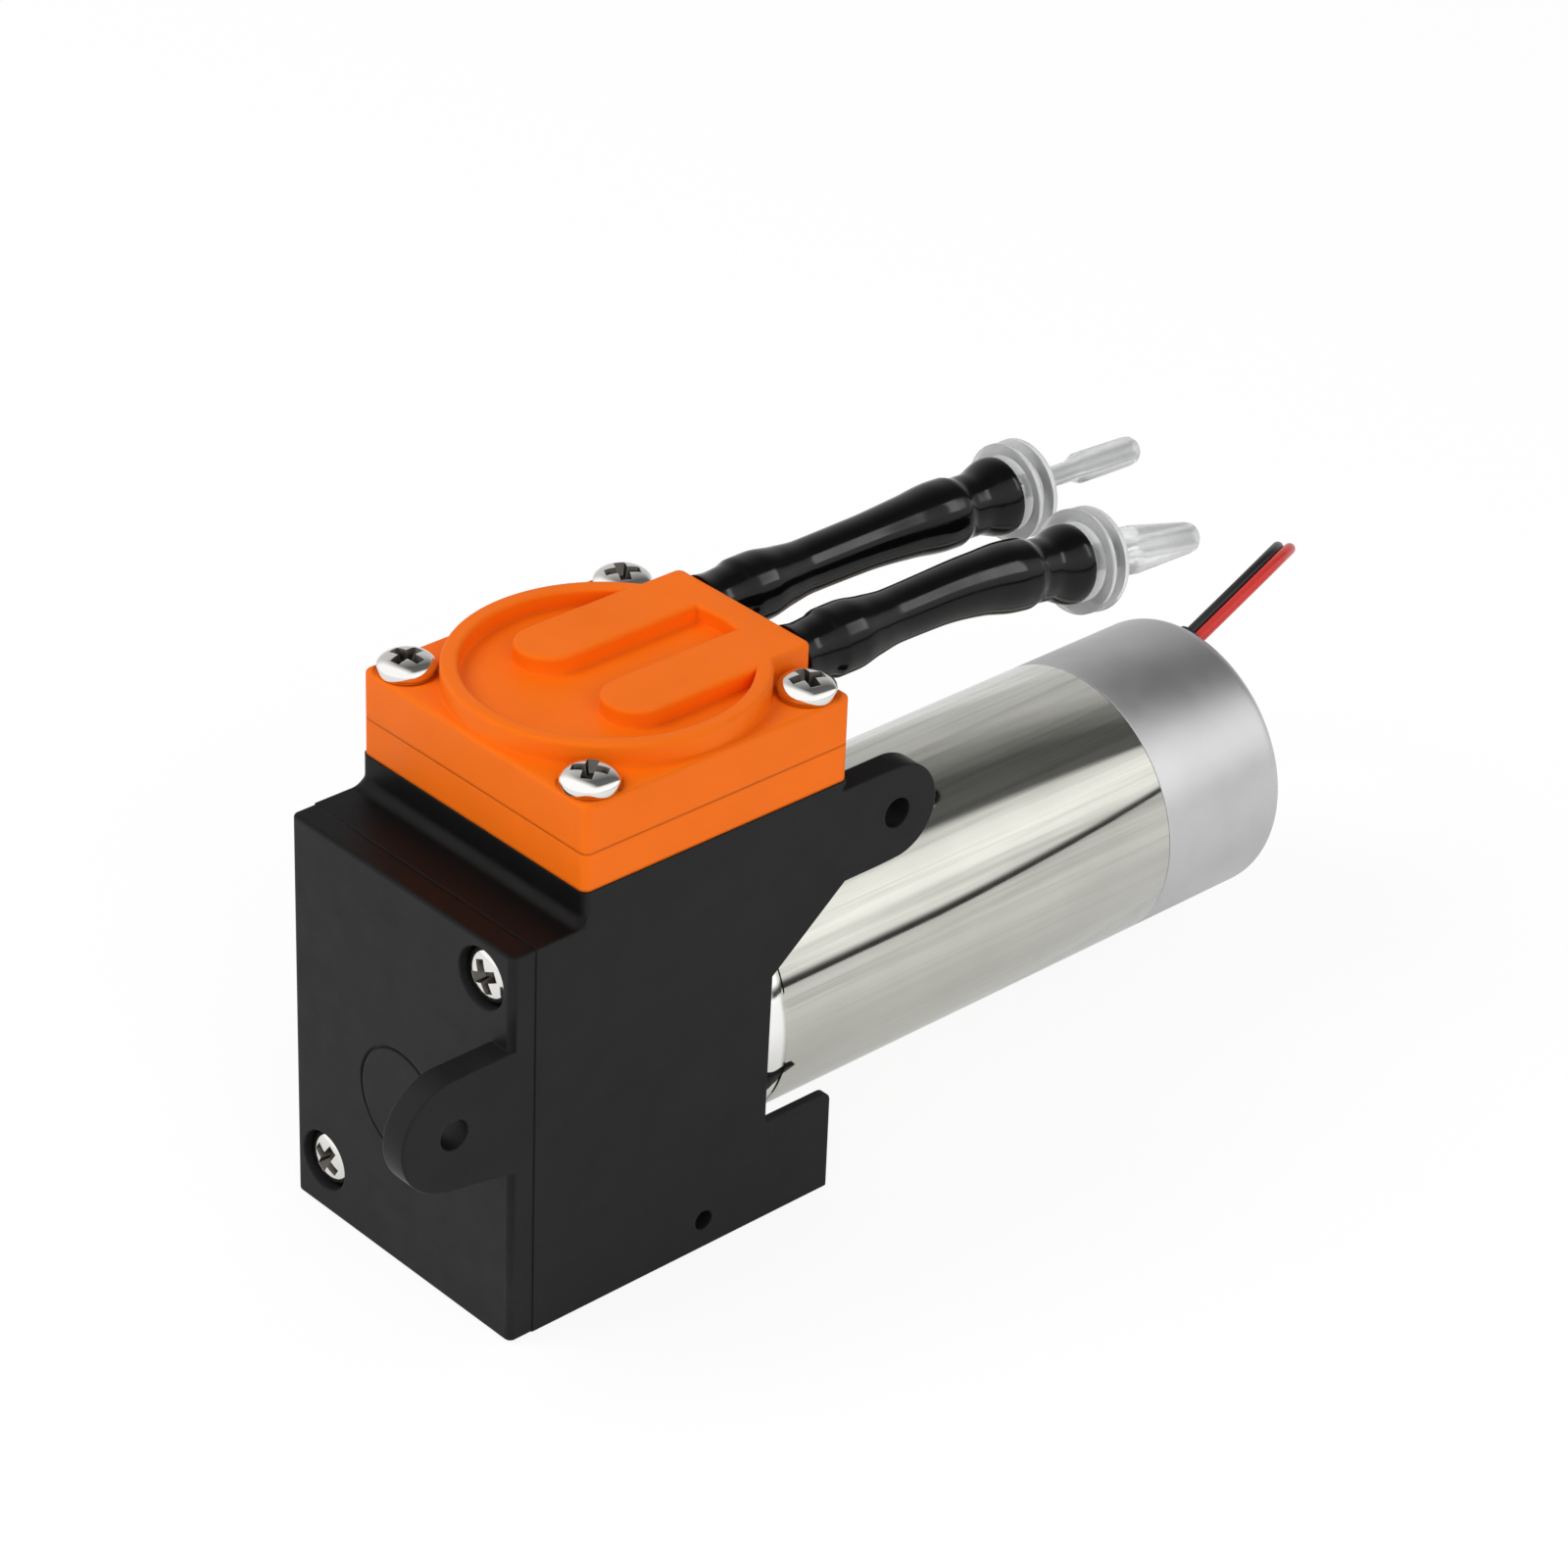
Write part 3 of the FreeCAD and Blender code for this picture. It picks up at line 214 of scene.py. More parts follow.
class Graph:
    """Adds nodes to one shader tree."""

    MIDDLE = (0.3, 0.7)  # values between which nearly all of a noise field lies

    def __init__(self, tree: bpy.types.NodeTree) -> None:
        """Start with an empty tree."""
        self.tree = tree
        tree.nodes.clear()

    def node(self, kind: str, settings: Optional[Dict[str, object]] = None,
             sockets: Optional[Sockets] = None) -> bpy.types.Node:
        """Add a node, set it up and fill its sockets.

        Args:
            kind: Blender's name of the node type, after ShaderNode.
            settings: Properties, which are set first.
            sockets: Values or terms of the input sockets.

        Returns:
            The node.
        """
        made = self.tree.nodes.new("ShaderNode" + kind)
        for name, setting in (settings or {}).items():
            setattr(made, name, setting)
        for key, value in (sockets or {}).items():
            socket = made.inputs[key]
            if isinstance(value, Term):
                self.tree.links.new(value.socket, socket)
            elif socket.type == "RGBA" and not isinstance(value, float):
                socket.default_value = (*value, 1.0)
            else:
                socket.default_value = value
        return made

    def term(self, kind: str, settings: Optional[Dict[str, object]] = None,
             sockets: Optional[Sockets] = None, output: Union[int, str] = 0) -> Term:
        """Add a node and give one of its outputs.

        Args:
            kind: Blender's name of the node type, after ShaderNode.
            settings: Properties, which are set first.
            sockets: Values or terms of the input sockets.
            output: The output that is wanted.

        Returns:
            The output.
        """
        return Term(self, self.node(kind, settings, sockets).outputs[output])

    def math(self, operation: str, first: Value, second: Value = 0.0) -> Term:
        """Combine two values with one math node.

        Args:
            operation: Blender's name of the operation.
            first: First value.
            second: Second value.

        Returns:
            The result.
        """
        return self.term("Math", {"operation": operation}, {0: first, 1: second})

    def place(self, output: str = "Object") -> Tuple[Term, Term, Term]:
        """Give the three coordinates of the shaded point.

        Args:
            output: Which coordinates.

        Returns:
            The coordinates.
        """
        where = self.term("TexCoord", output=output)
        split = self.node("SeparateXYZ", sockets={0: where})
        return (Term(self, split.outputs[0]), Term(self, split.outputs[1]),
                Term(self, split.outputs[2]))

    def join(self, x: Value, y: Value, z: Value) -> Term:
        """Combine three values into a vector.

        Args:
            x: First value.
            y: Second value.
            z: Third value.

        Returns:
            The vector.
        """
        return self.term("CombineXYZ", sockets={0: x, 1: y, 2: z})

    def noise(self, where: Term, cells: Cells) -> Term:
        """Sample a noise field.

        Args:
            where: Where to sample.
            cells: The field.

        Returns:
            A value from 0 to 1.
        """
        return self.term("TexNoise", sockets={"Vector": where, "Scale": cells.scale,
                                              "Detail": cells.detail,
                                              "Roughness": cells.roughness})

    def spread(self, value: Term, low: float, high: float, first: float = 0.0,
               last: float = 1.0) -> Term:
        """Map a range of values to another one and keep it inside.

        Args:
            value: Value to map.
            low: Input that gives the first output.
            high: Input that gives the last output.
            first: First output.
            last: Last output.

        Returns:
            The mapped value.
        """
        return self.term("MapRange", sockets={0: value, 1: low, 2: high, 3: first, 4: last})

    def patches(self, noise: Term, first: float = 0.0, last: float = 1.0) -> Term:
        """Stretch the middle of a noise field over a range.

        Args:
            noise: Value of the field.
            first: First output.
            last: Last output.

        Returns:
            The mapped value.
        """
        return self.spread(noise, *self.MIDDLE, first, last)

    def blend(self, share: Value, first: Value, second: Value) -> Term:
        """Mix two colours.

        Args:
            share: Share of the second colour.
            first: First colour.
            second: Second colour.

        Returns:
            The mixed colour.
        """
        return self.term("Mix", {"data_type": "RGBA"}, {0: share, 6: first, 7: second}, 2)

    def bump(self, height: Term, depth: float, strength: float,
             under: Optional[Term] = None) -> Term:
        """Turn a height into a normal.

        Args:
            height: Height from 0 to 1.
            depth: Height of 1 in metres.
            strength: Strength from 0 to 1.
            under: Normal to build on.

        Returns:
            The normal.
        """
        sockets: Sockets = {"Height": height, "Distance": depth, "Strength": strength}
        if under is not None:
            sockets["Normal"] = under
        return self.term("Bump", sockets=sockets)


def surface(name: str, sockets: Callable[[Graph], Sockets]) -> bpy.types.Material:
    """Make a material of one principled shader.

    Args:
        name: Name of the material.
        sockets: Gives the shader's sockets for a graph.

    Returns:
        The material.
    """
    material = bpy.data.materials.new(name)
    material.use_nodes = True
    graph = Graph(material.node_tree)
    shader = graph.term("BsdfPrincipled", sockets=sockets(graph))
    graph.node("OutputMaterial", sockets={"Surface": shader})
    return material


@dataclass(frozen=True)
class SeamShadow:
    """A joint between two mouldings, with a dark line of painted shade along it.

    Attributes:
        axis: Axis across the joint, 0 for X, 1 for Y and 2 for Z.
        place: Place of the joint in millimetres.
        half: Half the width of the line in millimetres.
        share: Share of the colour that the painted shade leaves in the line.
        top: Height in millimetres at which the line ends.
    """

    axis: int
    place: float
    half: float
    share: float
    top: float = 100.0


@dataclass(frozen=True)
class ShadedLedge:
    """A ledge of the housing under the head, darkened with painted shade.

    Attributes:
        low_z: Height in millimetres from which it starts.
        rear_y: Y in millimetres at which it ends.
        share: Share of the colour that the painted shade leaves on it.
    """

    low_z: float
    rear_y: float
    share: float


@dataclass(frozen=True)
class Moulded:
    """Moulded plastic or rubber with a fine spark-eroded grain and faint flow marks.

    Attributes:
        look: Name of the finish.
        colour: Main colour.
        roughness: Mean roughness.
        gloss: Specular level.
        grain: Grain cells per metre.
        depth: Depth of the grain in millimetres.
        drift: Share by which the colour drifts.
        edge: Radius in millimetres over which the shading of an edge is softened.
        seam_shadows: Joints with a line of painted shade along them.
        shaded_ledge: Its ledge, darkened with painted shade.
    """

    look: Look
    colour: Colour
    roughness: float = 0.5
    gloss: float = 0.5
    grain: float = 3600.0
    depth: float = 0.01
    drift: float = 0.10
    edge: float = 0.0
    seam_shadows: Tuple[SeamShadow, ...] = ()
    shaded_ledge: Optional[ShadedLedge] = None

    FADE = 0.2  # millimetres over which the painted shade of a ledge and the end of a line fade
    FLOW = Cells(70.0, 4.0)
    FLOW_DEPTH = 3.0  # depth of the flow marks, as a multiple of the grain's
    FLOW_STRENGTH = 0.25
    GRAIN_STRENGTH = 0.6
    CLOUD = Cells(260.0)
    SMOOTHER = 0.05  # how far the clouds lower the roughness
    ROUGHER = 0.06  # how far they raise it
    EDGE_SAMPLES = 4

    def shade(self, graph: Graph, place: Sequence[Term]) -> Value:
        """Give the share of the colour that the painted shade of the seams and of the ledge
        leaves.

        Args:
            graph: Graph of the material.
            place: Object coordinates.

        Returns:
            A share from 0 to 1.
        """
        share: Value = 1.0
        # Painted shade: a dark line along each joint.
        for seam_shadow in self.seam_shadows:
            offset = graph.math("ABSOLUTE", place[seam_shadow.axis] - seam_shadow.place * MM)
            line = graph.spread(offset, 0.5 * seam_shadow.half * MM, seam_shadow.half * MM, seam_shadow.share, 1.0)
            ended = graph.spread(place[2], (seam_shadow.top - self.FADE) * MM, seam_shadow.top * MM)
            share = share * graph.math("MAXIMUM", line, ended)
        # Painted shade: the ledge and the riser under the head are darkened.
        if self.shaded_ledge is not None:
            soft = self.FADE * MM
            high = graph.spread(place[2], self.shaded_ledge.low_z * MM, self.shaded_ledge.low_z * MM + soft)
            front = graph.spread(place[1], self.shaded_ledge.rear_y * MM + soft,
                                 self.shaded_ledge.rear_y * MM)
            share = share * (1.0 - (1.0 - self.shaded_ledge.share) * high * front)
        return share

    def sockets(self, graph: Graph) -> Sockets:
        """Give the shader's sockets.

        Args:
            graph: Graph of the material.

        Returns:
            Values by socket.
        """
        place = graph.place()
        where = graph.join(*place)
        flow = graph.noise(where, self.FLOW)
        fine = graph.noise(where, Cells(self.grain, roughness=FINE_WEIGHT))
        cloud = graph.noise(where, self.CLOUD)
        dark = tuple(channel * (1.0 - self.drift) for channel in self.colour)
        light = tuple(channel * (1.0 + self.drift) for channel in self.colour)
        colour = graph.blend(graph.patches(flow), dark, light)
        # Painted shade of the seams and the ledge: the colour is darkened towards black.
        if self.seam_shadows or self.shaded_ledge is not None:
            colour = graph.blend(self.shade(graph, place), BLACK, colour)
        under = None
        if self.edge > 0.0:
            under = graph.term("Bevel", {"samples": self.EDGE_SAMPLES},
                               {"Radius": self.edge * MM})
        ripple = graph.bump(flow, self.depth * self.FLOW_DEPTH * MM, self.FLOW_STRENGTH, under)
        return {
            "Base Color": colour,
            "Roughness": graph.patches(cloud, self.roughness - self.SMOOTHER,
                                       self.roughness + self.ROUGHER),
            "Specular IOR Level": self.gloss,
            "Normal": graph.bump(fine, self.depth * MM, self.GRAIN_STRENGTH, ripple),
        }


@dataclass(frozen=True)
class Metal:
    """Bare or plated metal with the marks of its tool.

    Attributes:
        look: Name of the finish.
        colour: Colour of the reflection.
        roughness: Mean roughness.
        depth: Depth of the marks in millimetres.
        marks: What the tool left.
        scale: Marks per metre.
        change: Change of the roughness.
        streaks: Share by which long streaks darken its upper side.
        tone: Brightness of its darker clouds as a share.
        highlight_y: Y in millimetres in front of which a painted highlight makes it bright.
        axis_z: Height in millimetres of the axis that it was turned or drawn about.
    """

    look: Look
    colour: Colour
    roughness: float
    depth: float
    marks: Marks = Marks.PLAIN
    scale: float = 9000.0
    change: float = 0.05
    streaks: float = 0.0
    tone: float = 0.93
    highlight_y: Optional[float] = None
    axis_z: float = 17.4

    AROUND = 40.0  # cells per metre along the marks of a turned face
    ALONG = 30.0  # cells per metre along a drawn tube
    MARKS = Cells(1.0, 3.0, FINE_WEIGHT)
    MARK_SHARE = 0.6  # share of the marks in the roughness, the rest is smears
    MARK_STRENGTH = 0.5
    CLOUD = Cells(120.0)
    SMEAR = Cells(480.0, 2.0)
    STREAK = Cells(1.0, 4.0, 0.65)
    STREAK_ACROSS = 1100.0  # streaks per metre across the tube
    STREAK_ALONG = 14.0  # streaks per metre along it
    STREAK_RANGE = (0.45, 0.7)  # noise at which a streak starts and is full
    UPPER = (-1.0, 5.0)  # millimetres above the axis at which streaks start and are full
    LOWER_SHARE = 0.25  # share of the streaks that stays below
    # Near white colour of the painted highlight.
    HIGHLIGHT_COLOUR = (0.97, 0.97, 0.95)
    HIGHLIGHT_FADE = 0.4  # millimetres over which the painted highlight fades
    SMOOTHEST = 0.02

    def sockets(self, graph: Graph) -> Sockets:
        """Give the shader's sockets.

        Args:
            graph: Graph of the material.

        Returns:
            Values by socket.
        """
        x, y, z = graph.place()
        up = z - self.axis_z * MM
        where = graph.join(x, y, z)
        if self.marks is Marks.TURNED:
            radius = graph.math("SQRT", x * x + up * up)
            field_of_marks = graph.join((y + radius) * self.scale, x * self.AROUND,
                                        z * self.AROUND)
        elif self.marks is Marks.DRAWN:
            field_of_marks = graph.join(x * self.scale, y * self.ALONG, up * self.scale)
        else:
            field_of_marks = graph.join(x * self.scale, y * self.scale, z * self.scale)
        marks = graph.noise(field_of_marks, self.MARKS)
        cloud = graph.noise(where, self.CLOUD)
        smear = graph.noise(where, self.SMEAR)
        dark = tuple(channel * self.tone for channel in self.colour)
        colour = graph.blend(graph.patches(cloud), dark, self.colour)
        if self.streaks > 0.0:
            across = self.STREAK_ACROSS
            streak = graph.noise(graph.join(x * across, y * self.STREAK_ALONG, up * across),
                                 self.STREAK)
            low, high = self.UPPER
            upper = graph.spread(up, low * MM, high * MM, self.LOWER_SHARE, 1.0)
            share = self.streaks * upper * graph.spread(streak, *self.STREAK_RANGE)
            colour = graph.blend(share, colour, BLACK)
        # Painted highlight: near white in front of the given Y, on the tube's shoulder.
        if self.highlight_y is not None:
            highlight = graph.spread(y, self.highlight_y * MM,
                                  (self.highlight_y - self.HIGHLIGHT_FADE) * MM)
            colour = graph.blend(highlight, colour, self.HIGHLIGHT_COLOUR)
        both = marks * self.MARK_SHARE + smear * (1.0 - self.MARK_SHARE)
        return {
            "Base Color": colour,
            "Metallic": 1.0,
            "Roughness": graph.patches(both, max(self.SMOOTHEST, self.roughness - self.change),
                                       self.roughness + self.change),
            "Normal": graph.bump(marks, self.depth * MM, self.MARK_STRENGTH),
        }


@dataclass(frozen=True)
class ClearPlastic:
    """Clear moulded plastic, slightly milky, with painted shade in its grooves.

    Attributes:
        look: Name of the finish.
        colour: Colour of the plastic.
        clearness: Share of the light that passes straight through.
        groove: Share of the colour that the painted shade leaves deep in the grooves.
    """

    look: Look
    colour: Colour
    clearness: float
    groove: float

    HAZE = Cells(900.0)
    MILKY = 0.92  # share of the colour in the milky patches
    CLEFT = 1.4  # millimetres over which the painted shade of a groove reaches
    CLEFT_SAMPLES = 6
    OPEN = (0.35, 0.95)  # openness at which the painted shade of a groove is darkest and at which it ends
    ROUGHNESS = (0.12, 0.22)
    RIPPLE = 0.01  # depth of the surface's ripples in millimetres
    RIPPLE_STRENGTH = 0.15
    REFRACTION = 1.47

    def sockets(self, graph: Graph) -> Sockets:
        """Give the shader's sockets.

        Args:
            graph: Graph of the material.

        Returns:
            Values by socket.
        """
        haze = graph.noise(graph.join(*graph.place()), self.HAZE)
        milky = tuple(channel * self.MILKY for channel in self.colour)
        groove_shade = tuple(channel * self.groove for channel in self.colour)
        # Painted shade: ambient occlusion darkens the colour deep in the grooves.
        openness = graph.term("AmbientOcclusion", {"samples": self.CLEFT_SAMPLES},
                              {"Distance": self.CLEFT * MM}, "AO")
        plastic = graph.blend(graph.patches(haze), milky, self.colour)
        return {
            "Base Color": graph.blend(graph.spread(openness, *self.OPEN), groove_shade, plastic),
            "Roughness": graph.patches(haze, *self.ROUGHNESS),
            "Normal": graph.bump(haze, self.RIPPLE * MM, self.RIPPLE_STRENGTH),
            "Transmission Weight": self.clearness,
            "IOR": self.REFRACTION,
        }


Finish = Union[Moulded, Metal, ClearPlastic]

# Lines of painted shade along the joints of the mouldings.
HEAD_SEAM_SHADOW = SeamShadow(2, 47.37, 0.13, 0.78)
COVER_SEAM_SHADOW = SeamShadow(1, -20.6, 0.20, 0.15, 40.0)

FINISHES: Tuple[Finish, ...] = (
    # The housing has painted shade along the cover's joint and on its ledge.
    Moulded(Look.HOUSING, srgb(27, 27, 27), 0.46, 0.14, 5200.0, 0.008, 0.10, 0.30,
            (COVER_SEAM_SHADOW,), ShadedLedge(40.05, -15.1, 0.30)),
    Moulded(Look.HEAD, srgb(243, 111, 8), 0.50, 0.16, 4200.0, 0.008, 0.05, 0.45, (HEAD_SEAM_SHADOW,)),
    Moulded(Look.HOSE, srgb(10, 10, 10), 0.13, 0.22, 2600.0, 0.002, 0.12),
    Moulded(Look.GLAND, srgb(28, 28, 28)),
    Moulded(Look.VALVE, srgb(120, 60, 48), 0.55),
    Moulded(Look.ROD, srgb(226, 220, 205), drift=0.05),
    Moulded(Look.INSULATOR, srgb(120, 66, 50)),
    Moulded(Look.LEAD_RED, srgb(205, 48, 42), 0.34, grain=3000.0, depth=0.004, drift=0.08),
    Moulded(Look.LEAD_BLACK, srgb(26, 26, 27), 0.34, grain=3000.0, depth=0.004, drift=0.08),
    Moulded(Look.CARBON, srgb(50, 50, 52), 0.62, grain=6000.0, depth=0.012),
    ClearPlastic(Look.CLEAR, (0.97, 0.98, 0.98), 0.68, 0.45),
    # The tube carries a painted highlight on its shoulder.
    Metal(Look.TUBE, (0.64, 0.635, 0.58), 0.06, 0.0010, Marks.DRAWN, 7800.0, 0.02, 0.30,
          highlight_y=10.2),
    Metal(Look.CAP, (0.66, 0.66, 0.665), 0.42, 0.0012, Marks.TURNED, 11000.0, 0.03, 0.0, 0.88),
    Metal(Look.SCREW, (0.84, 0.83, 0.80), 0.11, 0.003, Marks.PLAIN, 5000.0, 0.03),
    # Painted shade: near black for the faces of the cross recesses.
    Metal(Look.RECESS, (0.11, 0.10, 0.09), 0.34, 0.01, Marks.PLAIN, 4000.0),
    Metal(Look.STEEL, (0.62, 0.62, 0.63), 0.24, 0.003, Marks.TURNED, 8000.0),
    Metal(Look.BRASS, (0.80, 0.62, 0.32), 0.26, 0.003, Marks.TURNED, 8000.0),
    Metal(Look.BRONZE, (0.62, 0.44, 0.26), 0.50, 0.01),
    Metal(Look.COPPER, (0.78, 0.38, 0.20), 0.30, 0.02, Marks.TURNED, 3000.0),
    Metal(Look.CORE, (0.34, 0.34, 0.35), 0.42, 0.02, Marks.TURNED, 2600.0),
    Metal(Look.MAGNET, (0.20, 0.20, 0.21), 0.55, 0.01, Marks.PLAIN, 7000.0),
    Metal(Look.TIN, (0.80, 0.78, 0.74), 0.28, 0.02, Marks.PLAIN, 6000.0),
)

CAD_LOOKS: Dict[Look, Tuple[str, ...]] = {
    Look.VALVE: ("valve_seals", "inlet_valve", "outlet_valve"),
    Look.ROD: ("connecting_rod",),
    Look.CAP: ("clamp_plate",),
    Look.SCREW: ("clamp_screw", "hub_screw", "motor_screws"),
    Look.STEEL: ("rod_bearing_outer_race", "rod_bearing_inner_race", "rod_bearing_balls",
                 "front_bearing_outer_race", "front_bearing_inner_race",
                 "front_bearing_balls", "shaft"),
    Look.BRASS: ("rod_bearing_cage", "front_bearing_cage", "crank_hub", "brush_arms"),
    Look.CORE: ("armature_core",),
    Look.COPPER: ("windings", "commutator"),
    Look.INSULATOR: ("commutator_sleeve", "brush_plate"),
    Look.BRONZE: ("front_bush", "rear_bush"),
    Look.MAGNET: ("magnets",),
    Look.CARBON: ("brushes",),
    Look.GLAND: ("lead_gland",),
}


def smooth_curve(stations: Sequence[Station], count: int) -> List[Station]:
    """Sample a smooth curve through the stations that never overshoots them.

    Args:
        stations: Pairs of place and value, in rising order of place.
        count: Number of samples.

    Returns:
        The sampled pairs.
    """
    places = [place for place, _ in stations]
    values = [value for _, value in stations]
    gaps = [b - a for a, b in zip(places, places[1:])]
    slopes = [(b - a) / gap for a, b, gap in zip(values, values[1:], gaps)]
    tangents = [slopes[0]]
    for before, after in zip(slopes, slopes[1:]):
        if before * after <= 0.0:
            tangents.append(0.0)
        else:
            tangents.append(2.0 * before * after / (before + after))
    tangents.append(slopes[-1])
    samples = []
    for step in range(count):
        place = places[0] + (places[-1] - places[0]) * step / (count - 1)
        index = 0
        while index < len(gaps) - 1 and place > places[index + 1]:
            index += 1
        t = (place - places[index]) / gaps[index]
        span = gaps[index]
        value = ((2 * t ** 3 - 3 * t ** 2 + 1) * values[index]
                 + (t ** 3 - 2 * t ** 2 + t) * span * tangents[index]
                 + (3 * t ** 2 - 2 * t ** 3) * values[index + 1]
                 + (t ** 3 - t ** 2) * span * tangents[index + 1])
        samples.append((place, value))
    return samples


def quarter(centre: Station, radius: float, rising: bool, steps: int) -> List[Station]:
    """Give the stations of a quarter round on the outside of a turned piece.

    Args:
        centre: Place along the axis and distance from it of the round's centre.
        radius: Radius of the round.
        rising: True if the round leads up to the outside, false if it leads away from it.
        steps: Number of steps.

    Returns:
        The stations in order.
    """
    stations = []
    for step in range(steps + 1):
        angle = math.radians(90.0 * step / steps)
        if rising:
            along, out = -math.cos(angle), math.sin(angle)
        else:
            along, out = math.sin(angle), math.cos(angle)
        stations.append((centre[0] + radius * along, centre[1] + radius * out))
    return stations


def line_y(x: float, z: float) -> Line:
    """Give the line through a point of the XZ plane, along +Y.

    Args:
        x: X of the line in millimetres.
        z: Z of the line in millimetres.

    Returns:
        A function from millimetres along the line to centre and direction.
    """
    def place(along: float) -> Tuple[Vector, Vector]:
        """Give the centre and the direction at a distance."""
        return Vector((x, along, z)) * MM, Vector((0.0, 1.0, 0.0))
    return place


def linked(name: str, data: Optional[bpy.types.ID]) -> bpy.types.Object:
    """Make an object of a mesh, a curve, a lamp or a camera and put it into the scene.

    Args:
        name: Name of the object.
        data: What it shows.

    Returns:
        The object.
    """
    made = bpy.data.objects.new(name, data)
    bpy.context.scene.collection.objects.link(made)
    return made


def upright(along: float) -> Tuple[Vector, Vector]:
    """Give the centre and the direction of the upright axis at a height in millimetres."""
    return Vector((0.0, 0.0, along * MM)), Vector((0.0, 0.0, 1.0))


def dress(piece: bpy.types.Object, slot: Slot, *nodes: str, body: str = "frame") -> None:
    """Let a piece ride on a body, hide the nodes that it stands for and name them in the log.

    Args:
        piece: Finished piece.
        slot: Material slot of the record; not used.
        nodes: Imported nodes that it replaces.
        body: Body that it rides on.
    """
    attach(piece, body)
    if nodes:
        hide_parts(*nodes)
    log.info("%s: %d faces, stands for %s", piece.name, len(piece.data.polygons),
             ", ".join(nodes) or "nothing")


class Bench:
    """Works the meshes by hand and holds the finishes."""

    MERGE = 0.002 * MM
    LEVEL = 1e-6  # tilt in radians below which a ring isn't turned
    ROUND_SEGMENTS = 2

    def __init__(self, finishes: Sequence[Finish]) -> None:
        """Make every finish."""
        self.looks = {finish.look: surface(finish.look.value, finish.sockets)
                      for finish in finishes}

    def paint(self, piece: bpy.types.Object, look: Look) -> None:
        """Give a piece one finish."""
        piece.data.materials.clear()
        piece.data.materials.append(self.looks[look])

    def pick(self, piece: bpy.types.Object) -> None:
        """Select one piece alone and make it the active one."""
        bpy.ops.object.select_all(action="DESELECT")
        bpy.context.view_layer.objects.active = piece
        piece.select_set(True)

    def add(self, name: str, mesh: bpy.types.Mesh, look: Look) -> bpy.types.Object:
        """Make an object of a mesh.

        Args:
            name: Name of the object.
            mesh: Mesh in the model's frame.
            look: Its finish.

        Returns:
            The object.
        """
        mesh.name = name
        piece = linked(name, mesh)
        self.paint(piece, look)
        return piece

    def apply(self, piece: bpy.types.Object) -> None:
        """Apply every modifier of a piece."""
        self.pick(piece)
        for modifier in list(piece.modifiers):
            bpy.ops.object.modifier_apply(modifier=modifier.name)

    def shade(self, piece: bpy.types.Object, degrees: float) -> None:
        """Shade a piece smooth, but keep edges sharp from an angle on."""
        self.pick(piece)
        bpy.ops.object.shade_smooth_by_angle(angle=math.radians(degrees))

    def bevel(self, piece: bpy.types.Object, width: float, degrees: float = 38.0) -> None:
        """Round the sharp edges of a piece.

        Args:
            piece: Piece to change.
            width: Width of the rounding in millimetres.
            degrees: Angle from which an edge counts as sharp.
        """
        modifier = piece.modifiers.new("edges", "BEVEL")
        modifier.width = width * MM
        modifier.segments = self.ROUND_SEGMENTS
        modifier.limit_method = "ANGLE"
        modifier.angle_limit = math.radians(degrees)
        self.apply(piece)

    def start_ring(self, name: str, centre: Vector, direction: Vector, radius: float,
                   count: int, ends: Ends) -> bpy.types.Object:
        """Add a circle across a line and open it in edit mode, with its edges selected.

        Args:
            name: Name of the piece.
            centre: Centre in metres.
            direction: Direction of the line.
            radius: Radius in metres.
            count: Number of corners.
            ends: How the ends of the piece close.

        Returns:
            The new object.
        """
        bpy.ops.object.select_all(action="DESELECT")
        bpy.ops.mesh.primitive_circle_add(
            vertices=count, radius=radius, location=centre,
            rotation=direction.to_track_quat("Z", "Y").to_euler(),
            fill_type="NGON" if ends is Ends.FILLED else "NOTHING")
        piece = bpy.context.active_object
        piece.name = piece.data.name = name
        bpy.ops.object.transform_apply(location=True, rotation=True, scale=True)
        bpy.ops.object.mode_set(mode="EDIT")
        bpy.ops.mesh.select_mode(type="EDGE")
        bpy.ops.mesh.select_all(action="SELECT")
        return piece

    def turned(self, name: str, look: Look, stations: Sequence[Station], line: Line,
               ends: Ends = Ends.JOINED, count: int = 72) -> bpy.types.Object:
        """Draw a ring out along a line that may bend in the YZ plane.

        Args:
            name: Name of the piece.
            look: Its finish.
            stations: Pairs of distance along the line and radius, in millimetres.
            line: Gives the centre and the direction at a distance along the line.
            ends: How the ends close.
            count: Faces around.

        Returns:
            The piece.
        """
        along, radius = stations[0]
        centre, direction = line(along)
        piece = self.start_ring(name, centre, direction, radius * MM, count, ends)
        for along, wanted in stations[1:]:
            goal, heading = line(along)
            bpy.ops.mesh.extrude_edges_move(TRANSFORM_OT_translate={"value": goal - centre})
            share = wanted / radius
            if share != 1.0:
                bpy.ops.transform.resize(value=(share, share, share), center_override=goal)
            tilt = math.atan2(-heading.z, heading.y) - math.atan2(-direction.z, direction.y)
            if abs(tilt) > self.LEVEL:
                bpy.ops.transform.rotate(value=tilt, orient_axis="X", center_override=goal)
            centre, direction, radius = goal, heading, wanted
        if ends is Ends.FILLED:
            bpy.ops.mesh.edge_face_add()
        bpy.ops.mesh.select_all(action="SELECT")
        bpy.ops.mesh.remove_doubles(threshold=self.MERGE)
        bpy.ops.mesh.normals_make_consistent(inside=False)
        bpy.ops.object.mode_set(mode="OBJECT")
        self.paint(piece, look)
        return piece

